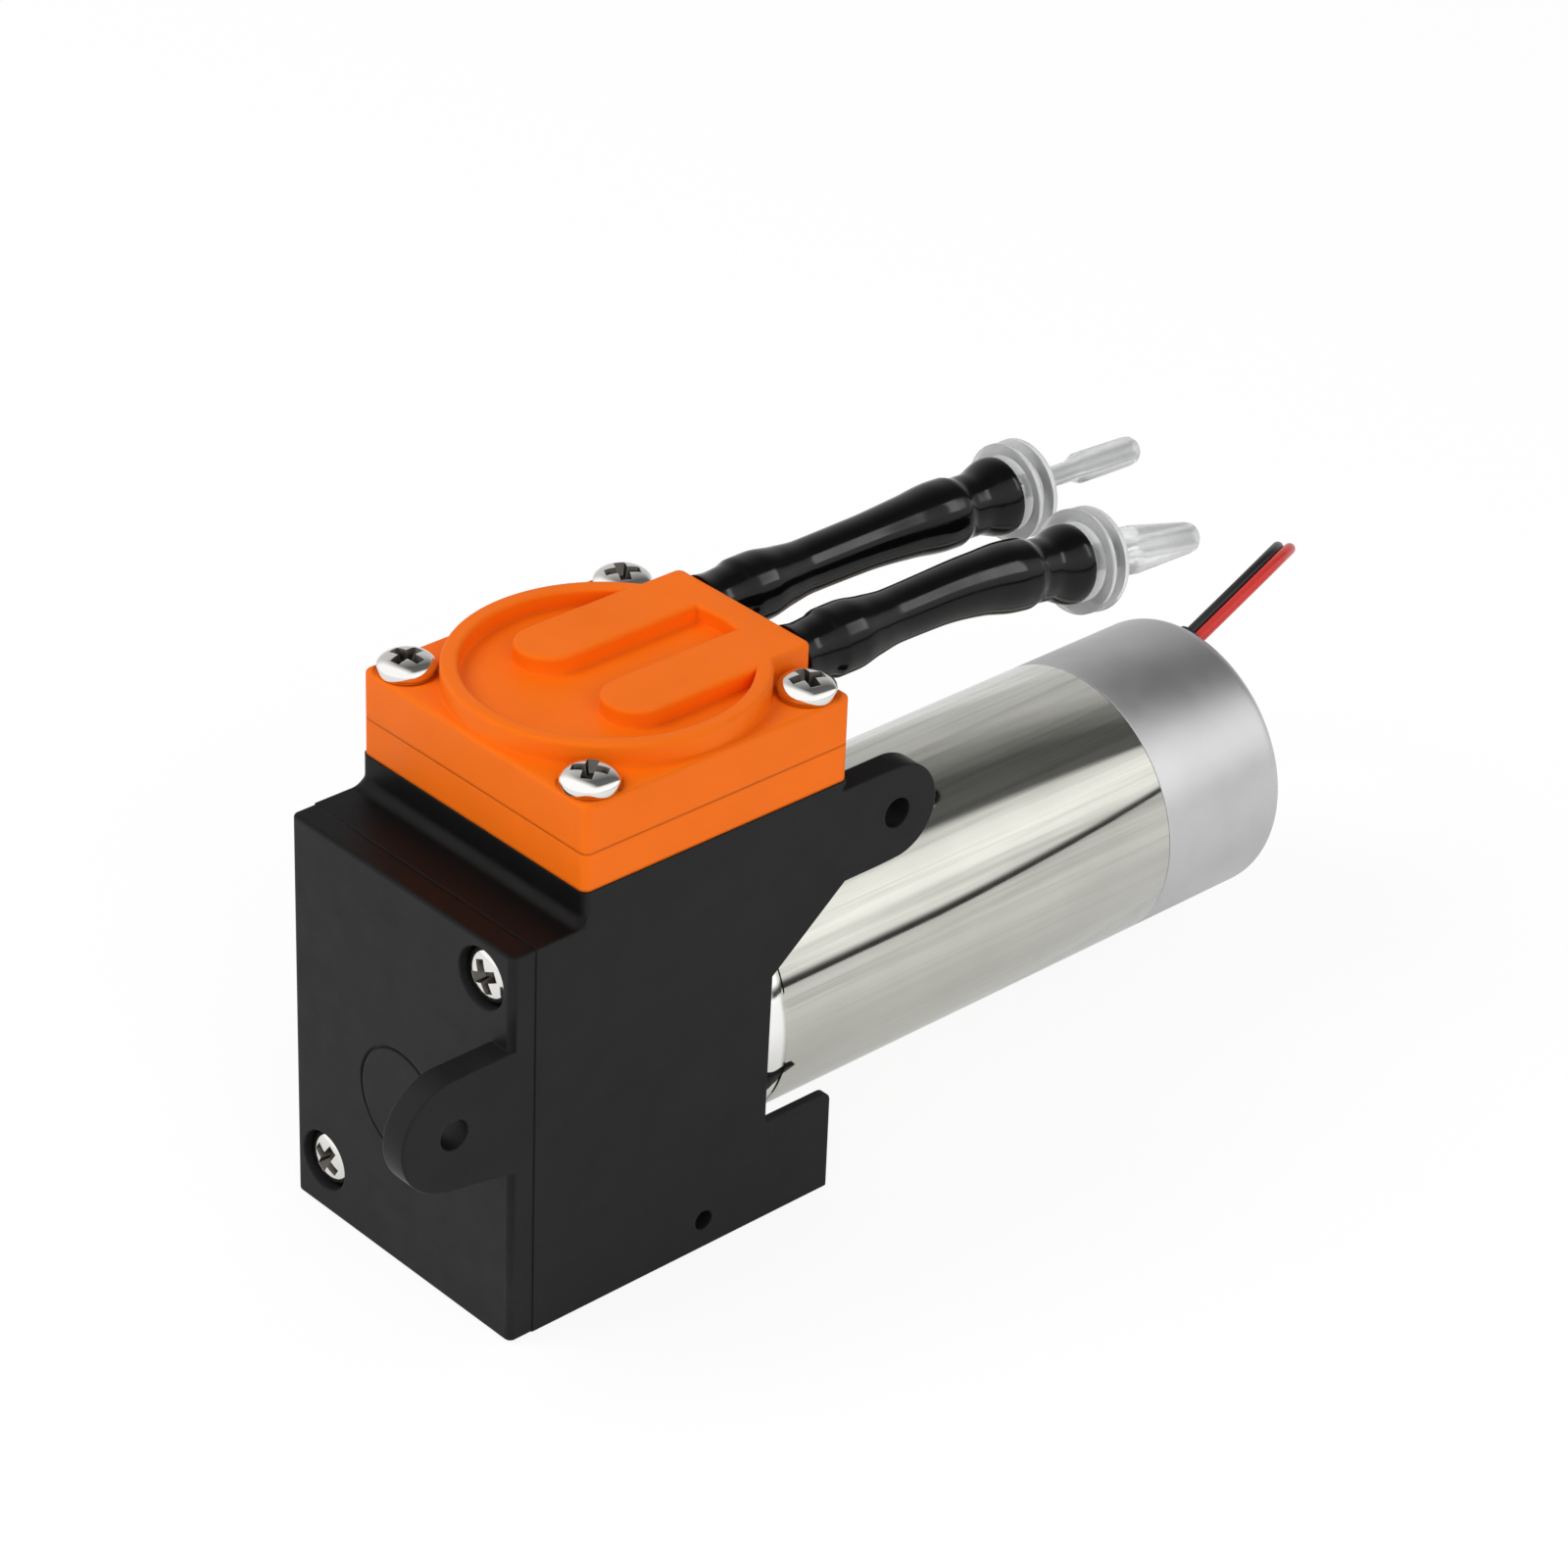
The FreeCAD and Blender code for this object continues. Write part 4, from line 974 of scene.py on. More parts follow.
    def cut(self, piece: bpy.types.Object, tool: bpy.types.Object) -> None:
        """Cut a tool out of a piece, with the tool's finish on the cut faces.

        Args:
            piece: Closed piece.
            tool: Closed tool, which is removed.
        """
        modifier = piece.modifiers.new("cut", "BOOLEAN")
        modifier.operation = "DIFFERENCE"
        modifier.solver = "EXACT"
        modifier.material_mode = "TRANSFER"
        modifier.object = tool
        self.apply(piece)
        bpy.data.objects.remove(tool)

    def copy(self, piece: bpy.types.Object, name: str, move: Matrix) -> bpy.types.Object:
        """Copy a piece with its own mesh and move that mesh.

        Args:
            piece: Piece to copy.
            name: Name of the copy.
            move: Where the copy goes.

        Returns:
            The copy.
        """
        mesh = piece.data.copy()
        mesh.name = name
        mesh.transform(move)
        return linked(name, mesh)


@dataclass
class Shells:
    """The four mouldings of the pump with softened edges, and the nodes that stay.

    Attributes:
        bench: Where the meshes are worked.
        widths: Width of the rounded edges of each moulding, in millimetres.
        sharp: Angle in degrees from which an edge is rounded.
        fold: Angle in degrees from which two faces count as folded over.
        tries: How often the rounding starts again with its folds left sharp.
    """

    bench: Bench
    widths: Dict[str, Tuple[Look, Slot, float]] = field(default_factory=lambda: {
        "pump_housing": (Look.HOUSING, Slot.HOUSING, 0.14),
        "front_cover": (Look.HOUSING, Slot.HOUSING, 0.12),
        "valve_plate": (Look.HEAD, Slot.ORANGE, 0.16),
        "head_cover": (Look.HEAD, Slot.ORANGE, 0.14),
    })
    sharp: float = 40.0
    fold: float = 115.0
    tries: int = 6

    WELD = 0.001  # millimetres within which two corners are one
    FLAT = 0.5  # degrees below which two faces are one
    ROOM = 2.0  # room for a rounding, as a multiple of its width
    SPARED = 0.5  # millimetres around a fold in which edges stay sharp
    SMOOTH = 35.0  # degrees below which the shading is smooth

    def roomy(self, edge: bmesh.types.BMEdge, room: float) -> bool:
        """Tell whether an edge is sharp and has room for its rounding.

        Args:
            edge: Edge of a closed mesh.
            room: Room that the rounding needs on each side, in metres.

        Returns:
            True if the edge can be rounded.
        """
        if len(edge.link_faces) != 2 or edge.calc_face_angle() < math.radians(self.sharp):
            return False
        beside = set(edge.verts)
        for corner in edge.verts:
            for other in corner.link_edges:
                if other.calc_length() < room:
                    return False
                beside.update(other.verts)
        return all(self.gap(edge, corner.co) > room for face in edge.link_faces
                   for corner in face.verts if corner not in beside)

    def gap(self, edge: bmesh.types.BMEdge, spot: Vector) -> float:
        """Give the distance from an edge to a point.

        Args:
            edge: Edge of a mesh.
            spot: The point in metres.

        Returns:
            The distance in metres.
        """
        start = edge.verts[0].co
        along = edge.verts[1].co - start
        share = max(0.0, min(1.0, (spot - start).dot(along) / along.length_squared))
        return (start + along * share - spot).length

    def softened(self, node: str, look: Look, width: float) -> bpy.types.Object:
        """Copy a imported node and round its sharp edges.

        Args:
            node: Name of the node.
            look: Finish of the copy.
            width: Width of the rounding in metres.

        Returns:
            The copy.
        """
        base = bmesh.new()
        base.from_mesh(frame["nodes"][node].data)
        bmesh.ops.remove_doubles(base, verts=base.verts, dist=self.WELD * MM)
        bmesh.ops.dissolve_limit(base, angle_limit=math.radians(self.FLAT), verts=base.verts,
                                 edges=base.edges, use_dissolve_boundaries=False)
        kept_sharp: List[Vector] = []
        for _ in range(self.tries):
            form = base.copy()
            chosen = [edge for edge in form.edges if self.roomy(edge, self.ROOM * width)
                      and all(self.gap(edge, spot) > self.SPARED * MM for spot in kept_sharp)]
            bmesh.ops.bevel(form, geom=chosen, offset=width, offset_type="OFFSET",
                            segments=Bench.ROUND_SEGMENTS, profile=0.5, affect="EDGES",
                            clamp_overlap=False)
            folds = [edge.verts[0].co.copy() for edge in form.edges
                     if len(edge.link_faces) == 2
                     and edge.calc_face_angle() > math.radians(self.fold)]
            if not folds:
                break
            kept_sharp += folds
        log.info("%s: %d edges rounded, %d folds left", node, len(chosen), len(folds))
        mesh = bpy.data.meshes.new(node)
        form.to_mesh(mesh)
        form.free()
        base.free()
        piece = self.bench.add(node + "_skin", mesh, look)
        self.bench.shade(piece, self.SMOOTH)
        modifier = piece.modifiers.new("normals", "WEIGHTED_NORMAL")
        modifier.keep_sharp = True
        self.bench.apply(piece)
        return piece

    def build(self) -> None:
        """Make the softened mouldings and dress the nodes that stay."""
        for node, (look, slot, width) in self.widths.items():
            dress(self.softened(node, look, width * MM), slot, node)
        for look, nodes in CAD_LOOKS.items():
            for node in nodes:
                for holder in frame["nodes"][node].material_slots:
                    holder.material = self.bench.looks[look]


@dataclass(frozen=True)
class PanHead:
    """A pan head with a cross recess.

    Attributes:
        radius: Radius of the head in millimetres.
        height: Height of the head in millimetres.
        rim: Height of its straight rim in millimetres.
        reach: Length of a recess arm as a share of the radius.
        arm: Width of a recess arm as a share of the radius.
        depth: Depth of the recess as a share of the height.
    """

    radius: float
    height: float
    rim: float
    reach: float = 0.74
    arm: float = 0.46
    depth: float = 0.70


@dataclass
class Screws:
    """The four screws of the head and the two of the front cover.

    Attributes:
        bench: Where the meshes are worked.
        head: Head of a head screw.
        head_inset: X and Y of the head screws in millimetres.
        head_seat: Height of their seats in millimetres.
        head_turns: Turns of their recesses in degrees.
        cover: Head of a cover screw.
        cover_seat: Y of the cover screws' seats in millimetres.
        cover_places: X and Z of the cover screws in millimetres.
        cover_turns: Turns of their recesses in degrees.
    """

    bench: Bench
    head: PanHead = PanHead(2.7, 1.65, 0.7)
    head_inset: float = 12.4
    head_seat: float = 52.17
    head_turns: Tuple[float, ...] = (10.0, 62.0, 38.0, 75.0)
    cover: PanHead = PanHead(2.7, 1.5, 0.6)
    cover_seat: float = -21.5
    cover_places: Tuple[Station, ...] = ((11.2, 36.43), (-11.2, 5.3))
    cover_turns: Tuple[float, ...] = (24.0, 58.0)

    CORNERS = 64
    CROWN_STEPS = 18
    CROWN_FALL = 3.0  # exponent of the distance from the axis in the crown's outline
    CROWN_RISE = 0.70  # exponent of its height
    FOOT = (0.08, 0.97)  # height in millimetres and radius share of the underside's chamfer
    PAST = 0.4  # millimetres that the recess tool stands above the head
    TAPER = 0.5  # size of the tool's floor as a share of its top
    DOWNWARD = -0.9  # upward part of a normal below which a face looks down
    ROUNDING = 0.05  # width of the rounded edges in millimetres
    SHARP = 48.0  # degrees from which an edge is rounded
    SMOOTH = 50.0  # degrees below which the shading is smooth

    def arm_tool(self, size: PanHead, turn: float) -> bpy.types.Object:
        """Make the tapered tool that cuts one bar of the cross recess.

        Args:
            size: Sizes of the head.
            turn: Turn about the head's axis in radians.

        Returns:
            The tool.
        """
        floor = size.height * (1.0 - size.depth)
        top = size.height + self.PAST
        bpy.ops.object.select_all(action="DESELECT")
        bpy.ops.mesh.primitive_cube_add(
            size=MM, location=(0.0, 0.0, 0.5 * (floor + top) * MM), rotation=(0.0, 0.0, turn),
            scale=(2.0 * size.reach * size.radius, size.arm * size.radius, top - floor))
        tool = bpy.context.active_object
        bpy.ops.object.transform_apply(location=True, rotation=True, scale=True)
        bpy.ops.object.mode_set(mode="EDIT")
        bpy.ops.mesh.select_mode(type="FACE")
        bpy.ops.mesh.select_all(action="DESELECT")
        bpy.ops.object.mode_set(mode="OBJECT")
        for face in tool.data.polygons:
            face.select = face.normal.z < self.DOWNWARD
        bpy.ops.object.mode_set(mode="EDIT")
        bpy.ops.transform.resize(value=(self.TAPER, self.TAPER, 1.0),
                                 center_override=(0.0, 0.0, floor * MM))
        bpy.ops.object.mode_set(mode="OBJECT")
        # The cut faces take the near black recess finish, which paints shade into the recess.
        self.bench.paint(tool, Look.RECESS)
        return tool

    def pattern(self, name: str, size: PanHead) -> bpy.types.Object:
        """Make one head at the origin, upright, with its recess cut.

        Args:
            name: Name of the head.
            size: Its sizes.

        Returns:
            The head.
        """
        radius = size.radius
        foot, share = self.FOOT
        stations = [(0.0, share * radius), (foot, radius), (size.rim, radius)]
        for step in range(1, self.CROWN_STEPS):
            out = math.cos(math.radians(90.0 * step / self.CROWN_STEPS))
            rise = (1.0 - out ** self.CROWN_FALL) ** self.CROWN_RISE
            stations.append((size.rim + (size.height - size.rim) * rise, radius * out))
        piece = self.bench.turned(name, Look.SCREW, stations, upright, Ends.FILLED,
                                  self.CORNERS)
        for turn in (0.0, 0.5 * math.pi):
            self.bench.cut(piece, self.arm_tool(size, turn))
        self.bench.bevel(piece, self.ROUNDING, self.SHARP)
        self.bench.shade(piece, self.SMOOTH)
        return piece

    def group(self, name: str, size: PanHead, spots: Sequence[Point], axis: Point,
              turns: Sequence[float]) -> None:
        """Copy one head to every screw of a group.

        Args:
            name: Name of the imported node.
            size: Sizes of the heads.
            spots: Centres of their undersides in millimetres.
            axis: Direction out of the heads.
            turns: Turns of the recesses in degrees.
        """
        pattern = self.pattern(name + "_pattern", size)
        aim = Vector(axis).to_track_quat("Z", "Y").to_matrix().to_4x4()
        for number, (spot, turn) in enumerate(zip(spots, turns), 1):
            move = (Matrix.Translation(Vector(spot) * MM) @ aim
                    @ Matrix.Rotation(math.radians(turn), 4, "Z"))
            piece = self.bench.copy(pattern, "%s_%d" % (name.rstrip("s"), number), move)
            dress(piece, Slot.SCREW, name)
        bpy.data.objects.remove(pattern)

    def build(self) -> None:
        """Make both groups of screws."""
        far = self.head_inset
        tops = [(sx * far, sy * far, self.head_seat) for sx in (-1, 1) for sy in (-1, 1)]
        fronts = [(x, self.cover_seat, z) for x, z in self.cover_places]
        self.group("head_screws", self.head, tops, (0.0, 0.0, 1.0), self.head_turns)
        self.group("cover_screws", self.cover, fronts, (0.0, -1.0, 0.0), self.cover_turns)


@dataclass
class Diaphragm:
    """The rubber diaphragm, split in its roll: the hub goes with the rod, the rim stays.

    Attributes:
        bench: Where the meshes are worked.
        hub: Height and radius of the hub's outline in millimetres.
        rim: Height and radius of the rim's outline in millimetres.
    """

    bench: Bench
    hub: Tuple[Station, ...] = (
        (41.05, 1.30), (41.05, 5.40), (41.60, 6.50), (40.99, 7.30), (41.10, 7.40),
        (41.60, 7.40), (41.79, 7.30), (42.40, 6.50), (42.95, 5.40), (42.95, 1.30),
        (41.05, 1.30),
    )
    rim: Tuple[Station, ...] = (
        (40.66, 8.80), (40.80, 8.70), (41.30, 8.70), (41.46, 8.80), (42.40, 10.10),
        (43.66, 10.60), (43.66, 12.30), (42.06, 12.30), (42.06, 10.60), (41.60, 10.10),
        (40.66, 8.80),
    )

    SMOOTH = 40.0  # degrees below which the shading is smooth

    def ring(self, name: str, outline: Sequence[Station]) -> bpy.types.Object:
        """Turn one half of the diaphragm about the pump's upright axis.

        Args:
            name: Name of the piece.
            outline: Its closed outline.

        Returns:
            The piece.
        """
        piece = self.bench.turned(name, Look.VALVE, outline, upright)
        self.bench.shade(piece, self.SMOOTH)
        return piece

    def build(self) -> None:
        """Make the hub on the rod and the rim in the housing."""
        hub = self.ring("diaphragm_hub_skin", self.hub)
        dress(hub, Slot.VALVE, "diaphragm", body="rod")
        dress(self.ring("diaphragm_rim_skin", self.rim), Slot.VALVE, "diaphragm")


@dataclass(frozen=True)
class HoseSpec:
    """A moulded hose and the clear adapter in its end.

    Attributes:
        side: Name of the side, left or right.
        x: X of the hose in millimetres.
        length: Length in millimetres.
        slope: Slope of its far end, downwards.
        flange: Radius of the adapter's flanges in millimetres.
        gap: Gap between the flanges in millimetres.
        nozzle: Stations of the nozzle, from the outer flange.
        block_y: Y in millimetres of the port block's rear face.
        port_z: Height of the port in millimetres.
        straight: Length that stays level, in millimetres.
        sleeve: Length of the far sleeve, which doesn't bend, in millimetres.
    """

    side: str
    x: float
    length: float
    slope: float
    flange: float
    gap: float
    nozzle: Tuple[Station, ...]
    block_y: float = 16.2
    port_z: float = 51.37
    straight: float = 17.0
    sleeve: float = 9.5

    def place(self, along: float) -> Tuple[Vector, Vector]:
        """Give the centre and direction of the hose.

        Args:
            along: Distance from the port block in millimetres.

        Returns:
            The centre in metres and the unit direction.
        """
        bend = self.length - self.sleeve - self.straight
        inside = min(max(0.0, along - self.straight), bend)
        beyond = max(0.0, along - self.straight - bend)
        drop = 0.5 * self.slope * inside ** 2 / bend + self.slope * beyond
        tilt = self.slope * inside / bend
        centre = Vector((self.x, self.block_y + along, self.port_z - drop)) * MM
        return centre, Vector((0.0, 1.0, -tilt)).normalized()

    def tip(self, along: float) -> Tuple[Vector, Vector]:
        """Give the centre and direction of the adapter.

        Args:
            along: Distance from the hose's end in millimetres.

        Returns:
            The centre in metres and the unit direction.
        """
        end, direction = self.place(self.length)
        return end + direction * (along * MM), direction


@dataclass
class Hoses:
    """The two black hoses and their clear adapters.

    Attributes:
        bench: Where the meshes are worked.
        specs: The two hoses.
        near: Outside of a hose, from the port block.
        far: Outside of its far half, from its end.
        mouth: Inside of the flared mouth, from its end.
        inside: Inside at the port block, from the block.
        barb: Outside of an adapter in the hose, from the hose's end.
        root: Distance from a hose's end to the inner flange in millimetres.
        neck: Radius of the adapter there in millimetres.
        rim: Thickness of a flange in millimetres.
        core: Radius between the flanges, as a share of theirs.
        channel: Radius of the adapter's bore in millimetres.
    """

    bench: Bench
    specs: Tuple[HoseSpec, ...] = (
        HoseSpec("left", -5.9, 37.2, 0.05, 4.8, 1.3, (
            (0.0, 1.35), (0.35, 1.0), (6.3, 1.0), (6.9, 1.3), (7.4, 1.5), (10.0, 1.5),
            (13.9, 1.45), (14.6, 1.35), (15.0, 1.1))),
        HoseSpec("right", 5.9, 35.0, 0.165, 5.0, 1.1, (
            (0.0, 1.45), (0.35, 1.1), (3.9, 1.1), (4.3, 2.0), (4.7, 2.3), (5.6, 2.32),
            (13.0, 1.55), (13.6, 1.4), (13.9, 1.15))),
    )
    near: Tuple[Station, ...] = (
        (0.0, 3.12), (1.6, 2.9), (3.4, 3.0), (4.6, 3.3), (6.6, 3.31), (9.4, 2.9), (12.5, 2.58),
    )
    far: Tuple[Station, ...] = (
        (-18.0, 2.64), (-12.0, 3.0), (-7.8, 3.4), (-6.6, 3.4), (-5.2, 3.02), (-3.6, 3.02),
        (-0.3, 3.84), (0.0, 3.80),
    )
    mouth: Tuple[Station, ...] = ((-0.3, 2.95), (-1.5, 2.9), (-9.0, 1.95))
    inside: Tuple[Station, ...] = ((8.4, 1.95), (0.0, 1.95))
    barb: Tuple[Station, ...] = (
        (-9.2, 0.6), (-9.2, 1.6), (-7.3, 2.38), (-7.0, 2.38), (-6.7, 1.88), (-3.5, 1.88),
        (0.0, 2.68),
    )
    root: float = 0.9
    neck: float = 2.7
    rim: float = 0.6
    core: float = 0.74
    channel: float = 0.6

    SAMPLES = 110  # rings along the outside of a hose
    HOSE_SMOOTH = 50.0  # degrees below which the shading of a hose is smooth
    ROUNDING = 0.12  # width of an adapter's rounded edges in millimetres
    SHARP = 50.0  # degrees from which an adapter's edge is rounded
    SMOOTH = 40.0  # degrees below which the shading of an adapter is smooth

    def hose(self, spec: HoseSpec) -> bpy.types.Object:
        """Make one hose, with a sleeve at both ends and a flared mouth.

        Args:
            spec: Sizes of the hose.

        Returns:
            The piece.
        """
        end = spec.length
        outer = [*self.near, *((end + back, radius) for back, radius in self.far)]
        stations = smooth_curve(outer, self.SAMPLES)
        stations += [(end + back, radius) for back, radius in self.mouth]
        stations += [*self.inside, outer[0]]
        piece = self.bench.turned(spec.side + "_hose_skin", Look.HOSE, stations, spec.place)
        self.bench.shade(piece, self.HOSE_SMOOTH)
        return piece

    def adapter(self, spec: HoseSpec) -> bpy.types.Object:
        """Make one clear adapter with its barb, its two flanges and its nozzle.

        Args:
            spec: Sizes of the adapter.

        Returns:
            The piece.
        """
        near, flange = self.root + self.rim, spec.flange
        far = near + spec.gap
        core = self.core * flange
        stations = [*self.barb, (self.root, self.neck), (self.root, flange), (near, flange),
                    (near, core), (far, core), (far, flange), (far + self.rim, flange)]
        stations += [(far + self.rim + along, radius) for along, radius in spec.nozzle]
        stations += [(stations[-1][0], self.channel), stations[0]]
        piece = self.bench.turned(spec.side + "_adapter_skin", Look.CLEAR, stations, spec.tip)
        self.bench.bevel(piece, self.ROUNDING, self.SHARP)
        self.bench.shade(piece, self.SMOOTH)
        piece.visible_glossy = False
        return piece

    def build(self) -> None:
        """Make both hoses with their adapters."""
        for spec in self.specs:
            dress(self.hose(spec), Slot.RUBBER, spec.side + "_hose")
            dress(self.adapter(spec), Slot.CLEAR, spec.side + "_adapter")


@dataclass
class Motor:
    """The plated tube and the turned end cap.

    Attributes:
        bench: Where the meshes are worked.
        axis_z: Height of the shaft in millimetres.
        radius: Radius of tube and cap in millimetres.
        front_y: Y of the tube's front face in millimetres.
        joint_y: Y of the joint of tube and cap in millimetres.
        rear_y: Y of the cap's rear face in millimetres.
        shoulder: Radius of the tube's rounded front edge in millimetres.
        groove: Depth of the fine groove behind the shoulder in millimetres.
        groove_at: Distances behind the shoulder, in millimetres, at which the groove is
            full, starts to rise and ends.
        neck: Radius of the bearing neck in millimetres.
        neck_length: Length of the neck in millimetres.
        neck_edge: Width of the chamfer of its rim in millimetres.
        bore: Radius of its bore in millimetres.
        wall: Thickness of the tube's wall in millimetres.
        plate: Thickness of its front plate in millimetres.
        cap_wall: Thickness of the cap's wall in millimetres.
        cap_round: Radius of the cap's rounded rear edge in millimetres.
        lip: Depth of the chamfers at the joint in millimetres.
        middle_y: Y of the ring in the middle of the tube in millimetres.
        cap_middle_y: Y of the ring in the middle of the cap in millimetres.
    """

    bench: Bench
    axis_z: float = 17.4
    radius: float = 13.9
    front_y: float = 6.8
    joint_y: float = 60.0
    rear_y: float = 76.3
    shoulder: float = 3.4
    groove: float = 0.12
    groove_at: Tuple[float, float, float] = (0.1, 0.25, 0.35)
    neck: float = 5.0
    neck_length: float = 2.2
    neck_edge: float = 0.2
    bore: float = 1.9
    wall: float = 1.0
    plate: float = 1.2
    cap_wall: float = 1.3
    cap_round: float = 2.0
    lip: float = 0.06
    middle_y: float = 30.0
    cap_middle_y: float = 70.0

    CORNERS = 160
    GAP = 0.02  # half the gap at the joint in millimetres
    LIP_LENGTH = 0.1  # length of the chamfers there in millimetres
    SHOULDER_STEPS = 12
    CAP_STEPS = 10
    SMOOTH = 35.0  # degrees below which the shading is smooth

    def tube(self) -> bpy.types.Object:
        """Make the plated tube with its neck, its shoulder and its open rear end.

        Returns:
            The piece.
        """
        r, front, root = self.radius, self.front_y, self.front_y + self.shoulder
        tip, back, end = front - self.neck_length, front + self.plate, self.joint_y - self.GAP
        fall, rise, past = (root + along for along in self.groove_at)
        stations = [(tip, self.bore), (tip, self.neck - self.neck_edge),
                    (tip + self.neck_edge, self.neck), (front, self.neck)]
        stations += quarter((root, r - self.shoulder), self.shoulder, True,
                            self.SHOULDER_STEPS)
        stations += [(fall, r - self.groove), (rise, r - self.groove), (past, r),
                     (self.middle_y, r), (end - self.LIP_LENGTH, r), (end, r - self.lip),
                     (end, r - self.wall), (root, r - self.wall), (back, r - self.shoulder),
                     (back, self.bore), (tip, self.bore)]
        piece = self.bench.turned("motor_tube_skin", Look.TUBE, stations,
                                  line_y(0.0, self.axis_z), count=self.CORNERS)
        self.bench.shade(piece, self.SMOOTH)
        return piece

    def cap(self) -> bpy.types.Object:
        """Make the turned end cap as a cup with a rounded rear edge.

        Returns:
            The piece.
        """
        r, front = self.radius, self.joint_y + self.GAP
        inner = r - self.cap_wall
        stations = [(self.rear_y - self.cap_wall, inner), (front, inner), (front, r - self.lip),
                    (front + self.LIP_LENGTH, r), (self.cap_middle_y, r)]
        stations += quarter((self.rear_y - self.cap_round, r - self.cap_round),
                            self.cap_round, False, self.CAP_STEPS)
        piece = self.bench.turned("motor_cap_skin", Look.CAP, stations,
                                  line_y(0.0, self.axis_z), Ends.FILLED, self.CORNERS)
        self.bench.shade(piece, self.SMOOTH)
        return piece

    def build(self) -> None:
        """Make the tube and the cap."""
        dress(self.tube(), Slot.TUBE, "motor_tube")
        dress(self.cap(), Slot.CAP, "motor_cap")


@dataclass
class Lead:
    """The red and black twin lead, from the gland to its coil.

    Attributes:
        bench: Where the meshes are worked.
        leave: Where it leaves the gland, in millimetres.
        route: Control points of its way to the coil, in millimetres.
        coil: Centre of the coil in millimetres.
        wire: Radius of one wire in millimetres.
        outer: Radius of the coil's outer turn in millimetres.
        closer: How much each turn of the coil is nearer to its centre, in millimetres.
        first: Direction in degrees in which the coil starts.
        turns: Number of turns.
        per_turn: Control points of one turn.
        tip: Distance from the jacket's end and radius of a bare end, in millimetres.
    """

    bench: Bench
    leave: Point = (-1.9, 78.262, 28.253)
    route: Tuple[Point, ...] = (
        (-1.9, 86.147, 31.930), (-3.6, 93.0, 32.9), (-8.8, 98.6, 28.4), (-16.2, 100.8, 19.3),
        (-22.2, 97.0, 9.4), (-19.8, 81.6, 2.2), (-13.6, 70.3, 1.2),
    )
    coil: Point = (-27.0, 62.0, 1.2)
    wire: float = 0.6
    outer: float = 15.7
    closer: float = 2.5
    first: float = 31.8
    turns: int = 2
    per_turn: int = 16
    tip: Tuple[Station, ...] = ((-0.5, 0.36), (3.2, 0.36), (3.6, 0.25))

    CORNERS = 20
    TIP_CORNERS = 16
    POINTS = 10  # points of the centreline between two control points
    STEEP = 0.3  # level share of the direction below which the lead counts as upright
    LYING = 3.0  # height in millimetres below which the two wires lie level
    LIFTED = 18.0  # millimetres above that from which they keep their own turn
    PULL = 0.15  # how fast they turn level
    SMOOTH = 60.0  # degrees below which the shading is smooth
    TIP_SMOOTH = 35.0  # the same for the bare ends

    def control(self) -> List[Vector]:
        """List the control points of the lead's spline.

        Returns:
            The points in metres.
        """
        points = [Vector(self.leave) * MM]
        points += [Vector(point) * MM for point in self.route]
        for step in range(1, self.turns * self.per_turn + 1):
            turn = step / self.per_turn
            radius = self.outer - self.closer * turn
            angle = math.radians(self.first) - 2.0 * math.pi * turn
            around = Vector((math.cos(angle), math.sin(angle), 0.0))
            points.append((Vector(self.coil) + around * radius) * MM)
        return points

    def line(self) -> List[Vector]:
        """Read the smooth centreline from the spline.

        Returns:
            The points along it in metres.
        """
        curve = bpy.data.curves.new("lead_line", "CURVE")
        curve.dimensions = "3D"
        curve.resolution_u = self.POINTS
        spline = curve.splines.new("NURBS")
        points = self.control()
        spline.points.add(len(points) - 1)
        for slot, point in zip(spline.points, points):
            slot.co = (*point, 1.0)
        spline.order_u = 3
        spline.use_endpoint_u = True
        holder = linked("lead_line", curve)
        bpy.context.view_layer.update()
        ready = holder.evaluated_get(bpy.context.evaluated_depsgraph_get())
        mesh = bpy.data.meshes.new_from_object(ready)
        path = [vertex.co.copy() for vertex in mesh.vertices]
        bpy.data.meshes.remove(mesh)
        bpy.data.objects.remove(holder)
        bpy.data.curves.remove(curve)
        return path

    def heading(self, path: Sequence[Vector], spot: int) -> Vector:
        """Give the direction of the path at one of its points.

        Args:
            path: Points of the centreline.
            spot: Number of the point.

        Returns:
            The unit direction.
        """
        return (path[min(len(path) - 1, spot + 1)] - path[max(0, spot - 1)]).normalized()

    def sides(self, path: Sequence[Vector]) -> List[Vector]:
        """Carry a sideways direction along the path, level once the lead lies down.

        Args:
            path: Points of the centreline.

        Returns:
            The sideways direction at each point.
        """
        side = Vector((1.0, 0.0, 0.0))
        found = []
        for spot, point in enumerate(path):
            along = self.heading(path, spot)
            side = (side - along * side.dot(along)).normalized()
            level = along.cross(Vector((0.0, 0.0, 1.0)))
            if level.length > self.STEEP:
                level.normalize()
                if level.dot(side) < 0.0:
                    level = -level
                height = min(1.0, max(0.0, (point.z / MM - self.LYING) / self.LIFTED))
                side = side * height + level * (1.0 - height) * self.PULL
                side = (side - along * side.dot(along)).normalized()
            found.append(side.copy())
        return found

